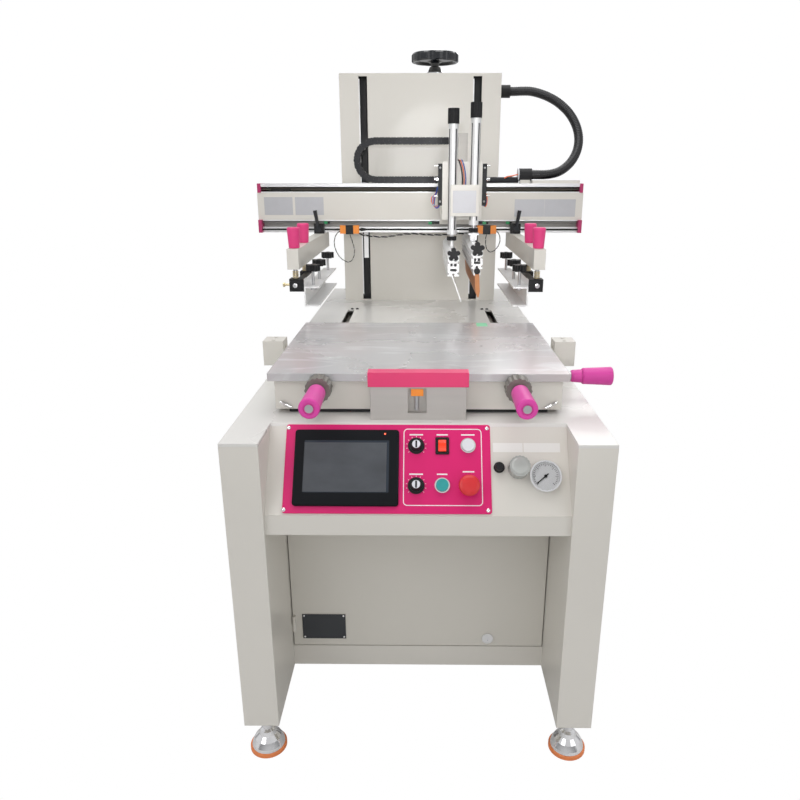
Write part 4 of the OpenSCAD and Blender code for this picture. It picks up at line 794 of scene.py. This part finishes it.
# Scale ticks round the two dials, and a bare bar over each control
DIAL_RADIUS = 16
bm = bmesh.new()
for _, t in DIALS:
    for k in range(11):
        a = math.radians(-40 + 26 * k)
        m = on_slope(DIAL_X, t, PLATE) @ Matrix.Rotation(a, 4, "Z")
        inside, outside = (DIAL_RADIUS + 1.2) / 1000, (DIAL_RADIUS + 3.6) / 1000
        add_box(bm, (inside, -0.0004, 0), (outside, 0.0004, 0.00015), m)
for x, t, width in (
    (DIAL_X, 24, 26),
    (46.5, 24, 22),
    (96, 24, 26),
    (DIAL_X, 101, 26),
    (46, 101, 20),
    (96, 96, 22),
):
    decal(bm, x - width / 2, t - 1.3, x + width / 2, t + 1.3, PLATE)
new_object("panel_scales", bm, INK, "frame_base")

# Touch screen: glass band, picture area and status lamp
bm = bmesh.new()
decal(bm, -235, 36.5, -38, 139.5, PLATE + 5.8, 0.25)
band = material(
    "screen_band", (0.022, 0.030, 0.043), 0.22,
    vary=0.2, scale=6, bump=0.02, grain=200, spec=0.4,
)
new_object("screen_band", bm, band, "frame_base")
bm = bmesh.new()
decal(bm, -219.5, 41, -60, 136, PLATE + 6.05, 0.15)
screen = material(
    "screen_glass", (0.060, 0.066, 0.076), 0.42,
    vary=0.4, scale=16, bump=0.25, grain=90, stretch=(1, 3, 1), spec=0.4,
)
new_object("screen_glass", bm, screen, "frame_base")

lamp = material("status_lamp", (0.9, 0.12, 0.06), 0.3, vary=0.1, scale=90, bump=0.02, grain=300)
glow(lamp, (1, 0.12, 0.05), 1.5)
bm = bmesh.new()
add_tube(bm, 0.0017, 0.0005, on_slope(-63.5, 24, PLATE + 6.9), 16)
new_object("status_lamp", bm, lamp, "frame_base")


def dome_head(bm, matrix, radius, height, sides=16, steps=4):
    """Domed screw head, standing on the matrix."""
    last = None
    for k in range(steps + 1):
        bow = math.radians(90 * k / steps)
        r, z = max(radius * math.cos(bow), radius * 0.02), height * math.sin(bow)
        ring = []
        for i in range(sides):
            a = 2 * math.pi * i / sides
            ring.append(bm.verts.new(matrix @ Vector((r * math.cos(a), r * math.sin(a), z))))
        if last:
            for i in range(sides):
                bm.faces.new((last[i], last[(i + 1) % sides], ring[(i + 1) % sides], ring[i]))
        last = ring
    bm.faces.new(last)


# Screws at the plate's corners, and two bare labels beside it
bm = bmesh.new()
for x, t in ((-251, 11), (133, 11), (-252, 169), (132, 169)):
    dome_head(bm, on_slope(x, t, PLATE), 0.0042, 0.0022)
new_object("panel_screws", bm, CHROME, "frame_base")
bm = bmesh.new()
decal(bm, 144, 39, 201, 57, 0)
decal(bm, 203, 39, 273, 57, 0)
new_object("bare_labels", bm, LABEL, "frame_base")

# Gauge: white dial with plain ticks and a clear cover
bm = bmesh.new()
add_tube(bm, 0.0268, 0.0002, on_slope(*GAUGE, 12.1), 48)
dial = material("gauge_dial", (0.93, 0.94, 0.95), 0.5, vary=0.02, scale=50, bump=0.02, grain=300)
new_object("gauge_dial", bm, dial, "frame_base")
bm = bmesh.new()
for k in range(31):
    a = math.radians(-45 + 9 * k)
    m = on_slope(*GAUGE, 12.3) @ Matrix.Rotation(a, 4, "Z")
    long = k % 5 == 0
    add_box(bm, (0.0185 if long else 0.0210, -0.0004, 0), (0.0240, 0.0004, 0.0001), m)
new_object("gauge_ticks", bm, BLACK, "frame_base")
glass = bpy.data.materials.new("gauge_glass")
glass.use_nodes = True
glass_tree = glass.node_tree
clear = glass_tree.nodes["Principled BSDF"]
clear.inputs["Transmission Weight"].default_value = 1
clear.inputs["Roughness"].default_value = 0.03
clear.inputs["IOR"].default_value = 1.1
ripple = glass_tree.nodes.new("ShaderNodeTexNoise")
ripple.inputs["Scale"].default_value = 60
ripple_bump = glass_tree.nodes.new("ShaderNodeBump")
ripple_bump.inputs["Strength"].default_value = 0.02
link(glass_tree, ripple.outputs["Fac"], ripple_bump.inputs["Height"])
link(glass_tree, ripple_bump.outputs["Normal"], clear.inputs["Normal"])
bm = bmesh.new()
add_tube(bm, 0.0269, 0.0008, on_slope(*GAUGE, 15.1), 48)
new_object("gauge_glass", bm, glass, "frame_base")

# Pointer caps on the two speed knobs, which stand over their collars with a small gap
COLLAR = 2
KNOB_GAP = 0.4
KNOB_HEIGHT = 14.9
KNOB_TOP = PLATE + COLLAR + KNOB_GAP + KNOB_HEIGHT
CAP_THICK = 0.8
for body, t in DIALS:
    bm = bmesh.new()
    add_tube(bm, 0.0078, CAP_THICK / 1000, on_slope(DIAL_X, t, KNOB_TOP), 32)
    new_object(body + "_cap", bm, WHITE, body)
    bm = bmesh.new()
    add_box(bm, (-0.0016, -0.0066, 0), (0.0016, 0.0066, 0.0006), on_slope(DIAL_X, t, KNOB_TOP + CAP_THICK))
    new_object(body + "_pointer", bm, BLACK, body)

# Rocker's dark frame
across, down = 13.2, 16.7
bm = bmesh.new()
rounded_frame(
    bm, ROCKER[0] - across, ROCKER[1] - down, ROCKER[0] + across, ROCKER[1] + down, 2, 4.2, PLATE + 2.45, 0.4
)
new_object("rocker_frame", bm, BLACK, "frame_base")

# Bare plates on the beam and the carriage, bare nameplate on the door
SHEET = 0.3
bm = bmesh.new()
for x0, x1, low, high in (
    (-541, -442, 324, 384),
    (-433.5, -334.5, 324, 384),
    (329, 432, 319, 377),
    (432.6, 539.5, 319, 377),
):
    add_box(bm, P(x0, BEAM_FACE - SHEET, low), P(x1, BEAM_FACE, high))
new_object("beam_plates", bm, GREY_PLATE, "head")
bm = bmesh.new()
add_box(bm, P(99.5, CARRIAGE_FACE - SHEET, 349), P(169, CARRIAGE_FACE, 413))
new_object("carriage_plate", bm, GREY_PLATE, "carriage")
bm = bmesh.new()
add_box(bm, P(-264.5, NAMEPLATE_FACE, -558.5), P(-165.5, NAMEPLATE_FACE + 1.6, -493.5))
new_object("nameplate", bm, CHARCOAL, "cabinet_door")
bm = bmesh.new()
for x in (-260, -170):
    for up in (-554, -498):
        dome_head(bm, toward(P(x, NAMEPLATE_FACE, up), (0, -1, 0)), 0.0025, 0.0012)
new_object("nameplate_rivets", bm, CHROME, "cabinet_door")

# Two screws behind each deck slot
bm = bmesh.new()
for s in (-1, 1):
    for x in (223, 241):
        add_tube(bm, 0.0054, 0.0035, toward(P(s * x, SLOT_END + 9, 0), (0, 0, 1)), 24, 0.0048)
new_object("deck_screws", bm, BLACK, "frame_base")

# Slanting catch at each corner of the apron: shank, washer, hexagon, tip, and the pin that holds it
CATCH_Y = APRON_FACE - 4
bm = bmesh.new()
for s in (-1, 1):
    along = (s * 0.87, 0, 0.49)
    for x, up, radius, length, sides in (
        (256, 12.5, 0.003, 0.014, 20),
        (266, 18.1, 0.0052, 0.0018, 24),
        (267.6, 19.0, 0.0045, 0.009, 6),
        (275.4, 23.4, 0.0024, 0.004, 16),
    ):
        add_tube(bm, radius, length, toward(P(s * x, CATCH_Y, up), along), sides)
    add_tube(bm, 0.0035, 0.0045, toward(P(s * 261, APRON_FACE, 15.3), (0, -1, 0)), 16)
new_object("apron_catches", bm, CHROME, "table_run")

# Black strip in the gap under the apron, a painted shadow of the gap: a blade and a lip along its top
bm = bmesh.new()
add_box(bm, P(-262, APRON_FACE + 2.5, 1.6), P(262, APRON_FACE + 7, 8.1))
add_box(bm, P(-262, APRON_FACE + 2.5, 8.0), P(262, APRON_FACE + 4.5, 8.6))
new_object("apron_gap_shadow", bm, BLACK, "table_run")

# Bright strips along the left edge of the column's slots
bm = bmesh.new()
for x in (-216.0, 186.0):
    add_box(bm, P(x, COLUMN_FACE - 1.8, 24), P(x + 3.4, COLUMN_FACE - 0.4, 776))
new_object("column_slot_strips", bm, ALU, "frame_base")

# Tongue of the head's slide in the left slot, buffer in the upper groove, nut on the sensor rod
bm = bmesh.new()
add_box(bm, P(-208.5, COLUMN_FACE - 0.8, 160), P(-192, COLUMN_FACE + 0.4, 271))
new_object("slide_tongue", bm, ALU, "head")
bm = bmesh.new()
add_box(bm, P(-515, BEAM_FACE + 5, 398.5), P(-447, BEAM_FACE + 16, 411))
add_box(bm, P(-509, BEAM_FACE + 3.5, 400), P(-453, BEAM_FACE + 5, 409.5))
add_tube(bm, 0.0058, 0.006, toward(P(-207, SENSOR_ROD_Y, SENSOR_ROD_UP), (1, 0, 0)), 20)
add_tube(bm, 0.0058, 0.012, toward(P(-201, SENSOR_ROD_Y, SENSOR_ROD_UP), (1, 0, 0)), 20, 0.0036)
new_object("beam_buffer", bm, BLACK, "head")

# Two sensor slots along each press tube
bm = bmesh.new()
for x, low, high in ((FLOOD_X, 284, 600), (SQUEEGEE_X, 312, 616)):
    for turn in (-52, -152):
        m = Matrix.Translation(P(x, PRESS_Y, low)) @ Matrix.Rotation(math.radians(turn), 4, "Z")
        add_box(bm, (0.0122, -0.0021, 0), (0.01312, 0.0021, (high - low) / 1000), m)
new_object("press_tube_slots", bm, BLACK, "carriage")

# Set screws on the bars' chamfers
for name, body, x, up in (
    ("flood", "flood_press", FLOOD_X - 3, 245),
    ("squeegee", "squeegee", SQUEEGEE_X - 3, 260),
):
    bm = bmesh.new()
    for s in (-1, 1):
        for y in (818, 838):
            add_tube(bm, 0.0024, 0.0016, toward(P(x + s * 11.5, y, up), (10 * s, 0, 9)), 6)
    new_object(name + "_set_screws", bm, BLACK, body)

# Pink sleeve on the side grip's shaft
bm = bmesh.new()
add_tube(bm, 0.0112, 0.004, toward(P(322, SIDE_GRIP_Y, SIDE_GRIP_UP), (1, 0, 0)), 48, 0.013)
add_tube(bm, 0.013, 0.0185, toward(P(326, SIDE_GRIP_Y, SIDE_GRIP_UP), (1, 0, 0)), 48, 0.0142)
new_object("side_grip_sleeve", bm, PINK_GRIP, "side_spindle")

# Low dome on the regulator's knob
bm = bmesh.new()
for base, top, out in ((0.0165, 0.0145, 32.4), (0.0145, 0.010, 33.6), (0.010, 0.002, 34.6)):
    add_tube(bm, base, 0.0012, on_slope(*REGULATOR_PLACE, out), 48, top)
new_object("regulator_dome", bm, REGULATOR, "regulator")

# Steel studs in the ends of the grips
for body, x in (("left_spindle", -GRIP_X), ("right_spindle", GRIP_X)):
    bm = bmesh.new()
    add_tube(bm, 0.00775, 0.0012, toward(P(x, GRIP_END_Y, GRIP_UP), (0, -1, 0)), 32)
    new_object(body + "_end", bm, STEEL, body)

# Wiring: thin leads that end in the carriage, the gland or the sensors


def wire(name, points, diameter, mat, body):
    """Thin lead through points in millimetres."""
    line, length = resample([P(*p) for p in points], 0.003)
    o = sweep(name, line, [diameter / 2000] * len(line), 8, mat, body)


WIRE_BLUE = material("wire_blue", (0.03, 0.09, 0.42), 0.35, vary=0.1, scale=60, bump=0.05, grain=400)
WIRE_ORANGE = material("wire_orange", (0.80, 0.16, 0.06), 0.35, vary=0.1, scale=60, bump=0.05, grain=400)
WIRE_PALE = material("wire_pale", (0.55, 0.60, 0.66), 0.35, vary=0.1, scale=60, bump=0.05, grain=400)
WIRE_BLACK = material("wire_black", (0.015, 0.015, 0.018), 0.35, vary=0.3, scale=60, bump=0.05, grain=400)

# Six leads loop out of the carriage's left side plate and back, three at the right one
for i, mat in enumerate((WIRE_BLUE, WIRE_ORANGE, WIRE_BLACK, WIRE_PALE, WIRE_BLUE, WIRE_ORANGE)):
    a = i - 2.5
    wire(
        f"side_wire_left_{i}",
        [
            (66, 1112 + a, 430 - 3 * i), (58, 1108 + a, 424 - 3 * i), (50 - a, 1098, 408 - 2 * i),
            (42 - 1.6 * a, 1084 + a, 388 + a), (42 - 1.2 * a, 1072 + a, 371 + 1.5 * a),
            (51 - a, 1063 + 2 * a, 363 + a), (61 - 0.4 * a, 1060 + 2.6 * a, 369),
        ],
        4.4, mat, "carriage",
    )
for i, mat in enumerate((WIRE_BLUE, WIRE_BLACK, WIRE_ORANGE)):
    wire(
        f"side_wire_right_{i}",
        [
            (192, 1110 + 3 * i, 420 - 4 * i), (200, 1110 + 3 * i, 414 - 4 * i), (207 + i, 1104, 398),
            (208 + i, 1090, 378), (203 + i, 1076, 367 - i), (196 + i, 1066 + 3 * i, 369),
        ],
        4.4, mat, "carriage",
    )

# Three leads between the press tubes
for i, (mat, dx) in enumerate(((WIRE_BLACK, 0), (WIRE_ORANGE, 5), (WIRE_BLUE, 10))):
    wire(
        f"middle_wire_{i}",
        [
            (115 + dx, 1041, 500), (117 + dx, 1032, 499), (121 + dx, 1028, 488), (126 + dx, 1029, 470),
            (129 + dx, 1033, 448), (129 + dx, 1035, 432), (128 + dx, 1036, 418),
        ],
        4.0 if i == 0 else 3.0, mat, "carriage",
    )

# Three leads from the chain into the loom's gland
for i, mat in enumerate((WIRE_ORANGE, WIRE_BLACK, WIRE_ORANGE)):
    wire(
        f"loom_wire_{i}",
        [
            (296, 1387 + 6 * i, 446), (308, 1385 + 6 * i, 452), (322, 1386 + 7 * i, 454 - i),
            (336, 1390 + 8 * i, 457), (350, 1393 + 7 * i, 459),
        ],
        3.6, mat, "head",
    )

# Twisted cable under the sensor rod
ROD_CABLE = [
    (-213, 1322, 262), (-204, 1325, 258), (-190, 1327, 255), (-165, 1328, 252), (-140, 1328, 250),
    (-110, 1328, 251), (-80, 1328, 256), (-45, 1328, 260), (-10, 1328, 261), (25, 1328, 258),
    (60, 1328, 257), (100, 1328, 259), (150, 1328, 262), (190, 1326, 262), (201, 1324, 266),
]
line, length = resample([P(*p) for p in ROD_CABLE], 0.002)
strands = twisted("rod_cable", line, 0.0064, 0.027, "head")

# Fittings and screws on the carriage's dark side plates, white tie at the gland
bm = bmesh.new()
for x, outward in zip(CARRIAGE_SIDES, (-1, 1)):
    fitting = toward(P(x, 1072, 445), (outward, 0, 0))
    add_tube(bm, 0.0055, 0.005, fitting, 6)
    add_tube(bm, 0.0045, 0.012, fitting, 24, 0.004)
    for up in (484, 396):
        add_tube(bm, 0.0015, 0.012, toward(P(x, 1060, up), (outward, 0, 0)), 12)
new_object("carriage_fittings", bm, CHROME, "carriage")
bm = bmesh.new()
for x in (62, 196.5):
    for up in (380, 478):
        dome_head(bm, toward(P(x, 1044, up), (0, -1, 0)), 0.0034, 0.002)
new_object("carriage_plate_screws", bm, STEEL, "carriage")
bm = bmesh.new()
add_tube(bm, 0.0220, 0.0035, toward(P(343.2, GLAND_Y, GLAND_UP), (1, 0, 0)), 48)
new_object("gland_tie", bm, WHITE, "head")

# Green reed switches: two on the beam, two on brackets of the carriage
GREEN_CASE = material(
    "green_case", (0.02, 0.30, 0.10), 0.35,
    vary=0.12, scale=40, bump=0.05, grain=300, bevel=0.0006,
)
for name, body, y, places in (
    ("beam_switches", "head", BEAM_FACE - 4, ((-328, None), (308, None))),
    ("carriage_switches", "carriage", BEAM_FACE - 22, ((37, 68.5), (225, 189.5))),
):
    bm = bmesh.new()
    black = bmesh.new()
    for x, plate in places:
        add_box(bm, P(x - 7, y, 294), P(x + 5, y + 9, 303))
        add_box(black, P(x + 5, y + 1, 295), P(x + 13, y + 8, 302))
        if plate:
            add_box(black, P(min(x, plate), y + 9, 295), P(max(x, plate), y + 12, 305))
    new_object(name, bm, GREEN_CASE, body)
    new_object(name + "_bracket", black, BLACK, body)

# Bolts on the front faces of the bracket blocks, and the brass stop screw
for side, x in HOLDER_X.items():
    body = side + "_holder"
    bm = bmesh.new()
    for rod_y in HOLDER_RODS_Y:
        bolt = toward(P(x, rod_y - 18, HOLDER_BOLT_UP), (0, -1, 0))
        add_tube(bm, 0.0055, 0.004, bolt, 6)
        add_tube(bm, 0.0065, 0.001, bolt, 24)
    new_object(body + "_bolts", bm, CHROME, body)
bm = bmesh.new()
for reach, radius, length, sides in ((16, 0.0035, 0.016, 16), (32, 0.0065, 0.005, 6)):
    place = P(HOLDER_X["left"] - reach, HOLDER_RODS_Y[0], HOLDER_BOLT_UP)
    add_tube(bm, radius, length, toward(place, (-1, 0, 0)), sides)
new_object("left_holder_stop_screw", bm, BRASS, "left_holder")

# Green spot near the table's rear edge, a painted reflection
GREEN_GLINT = material("green_glint", (0.20, 0.62, 0.36), 0.3, vary=0.1, scale=30, bump=0.05, grain=300)
bm = bmesh.new()
add_box(bm, P(150, 606, 86), P(178, 646, 86.3))
new_object("table_green_glint", bm, GREEN_GLINT, "table")

# Floor: white to the camera, pale grey to the light that it bounces back
FLOOR_HALF = 15
floor_mesh = bpy.data.meshes.new("floor")
floor_corners = [(FLOOR_HALF * x, FLOOR_HALF * y, 0) for x, y in ((-1, -1), (1, -1), (1, 1), (-1, 1))]
floor_mesh.from_pydata(floor_corners, [], [(0, 1, 2, 3)])
floor = bpy.data.objects.new("floor", floor_mesh)
scene.collection.objects.link(floor)
floor.location.z = -0.001
floor_paint = bpy.data.materials.new("floor")
floor_paint.use_nodes = True
floor_tree = floor_paint.node_tree
floor_tree.nodes.clear()
floor_output = floor_tree.nodes.new("ShaderNodeOutputMaterial")
floor_mix = floor_tree.nodes.new("ShaderNodeMixShader")
white = floor_tree.nodes.new("ShaderNodeEmission")
white.inputs["Color"].default_value = (1, 1, 1, 1)
white.inputs["Strength"].default_value = 1.0
pale = floor_tree.nodes.new("ShaderNodeBsdfDiffuse")
pale.inputs["Color"].default_value = (0.72, 0.72, 0.72, 1)
ray = floor_tree.nodes.new("ShaderNodeLightPath")
link(floor_tree, ray.outputs["Is Camera Ray"], floor_mix.inputs["Fac"])
link(floor_tree, pale.outputs["BSDF"], floor_mix.inputs[1])
link(floor_tree, white.outputs["Emission"], floor_mix.inputs[2])
link(floor_tree, floor_mix.outputs["Shader"], floor_output.inputs["Surface"])
floor_mesh.materials.append(floor_paint)

# World: white to the camera, a darker sky in mirror reflections, a soft one for the rest
world = bpy.data.worlds.new("studio")
scene.world = world
world.use_nodes = True
world_tree = world.node_tree
world_tree.nodes.clear()
world_ray = world_tree.nodes.new("ShaderNodeLightPath")
world_coord = world_tree.nodes.new("ShaderNodeTexCoord")
split = world_tree.nodes.new("ShaderNodeSeparateXYZ")
link(world_tree, world_coord.outputs["Generated"], split.inputs["Vector"])


def sky(strength, stops):
    """Background that changes with height: stops are (height from -1 to 1, brightness)."""
    node = world_tree.nodes.new("ShaderNodeBackground")
    node.inputs["Strength"].default_value = strength
    span = world_tree.nodes.new("ShaderNodeMapRange")
    span.inputs["From Min"].default_value = -1
    link(world_tree, split.outputs["Z"], span.inputs["Value"])
    ramp = world_tree.nodes.new("ShaderNodeValToRGB")
    elements = ramp.color_ramp.elements
    while len(elements) < len(stops):
        elements.new(0.5)
    for element, (height, value) in zip(elements, stops):
        element.position = (height + 1) / 2
        element.color = (value, value, value * 1.01, 1)
    link(world_tree, span.outputs["Result"], ramp.inputs["Fac"])
    link(world_tree, ramp.outputs["Color"], node.inputs["Color"])
    return node.outputs["Background"]


def either(factor, first, second):
    """The second shader where the factor is 1, otherwise the first."""
    node = world_tree.nodes.new("ShaderNodeMixShader")
    link(world_tree, factor, node.inputs["Fac"])
    link(world_tree, first, node.inputs[1])
    link(world_tree, second, node.inputs[2])
    return node.outputs["Shader"]


soft = sky(0.62, ((-1, 0.8), (0, 0.85), (0.5, 1.0), (1, 1.0)))
mirror = sky(0.75, ((-0.2, 0.25), (0.05, 0.38), (0.25, 1.0), (1, 0.8)))
plain = sky(1.0, ((-1, 1.0), (1, 1.0)))
world_output = world_tree.nodes.new("ShaderNodeOutputWorld")
lit_by = either(world_ray.outputs["Is Glossy Ray"], soft, mirror)
seen = either(world_ray.outputs["Is Camera Ray"], lit_by, plain)
link(world_tree, seen, world_output.inputs["Surface"])


def area(name, where, at, size, power):
    """Square area light at a place, turned to a point."""
    data = bpy.data.lights.new(name, "AREA")
    data.energy = power
    data.size = size
    o = bpy.data.objects.new(name, data)
    scene.collection.objects.link(o)
    o.location = where
    o.rotation_euler = (Vector(at) - Vector(where)).to_track_quat("-Z", "Y").to_euler()


area("key", (-2.4, -3.4, 3.4), (0, 0, 0.8), 2.2, 33)
area("fill", (2.8, -3.0, 2.0), (0, 0, 0.8), 2.4, 13)
area("top", (0, -0.2, 4.2), (0, 0, 0.7), 3.0, 60)
area("rim", (0.8, 3.4, 3.0), (0, 0, 1.0), 2.0, 30)

# Soft spot on the column, which the beam shades from above
spot_data = bpy.data.lights.new("column_spot", "SPOT")
spot_data.energy = 96
spot_data.spot_size = math.radians(27)
spot_data.spot_blend = 1.0
spot_data.shadow_soft_size = 0.35
spot = bpy.data.objects.new("column_spot", spot_data)
scene.collection.objects.link(spot)
spot.location = (0.1, -2.6, 1.35)
spot.rotation_euler = (Vector((0, 0.6, 0.96)) - Vector(spot.location)).to_track_quat("-Z", "Y").to_euler()

scene.view_settings.view_transform = "Standard"
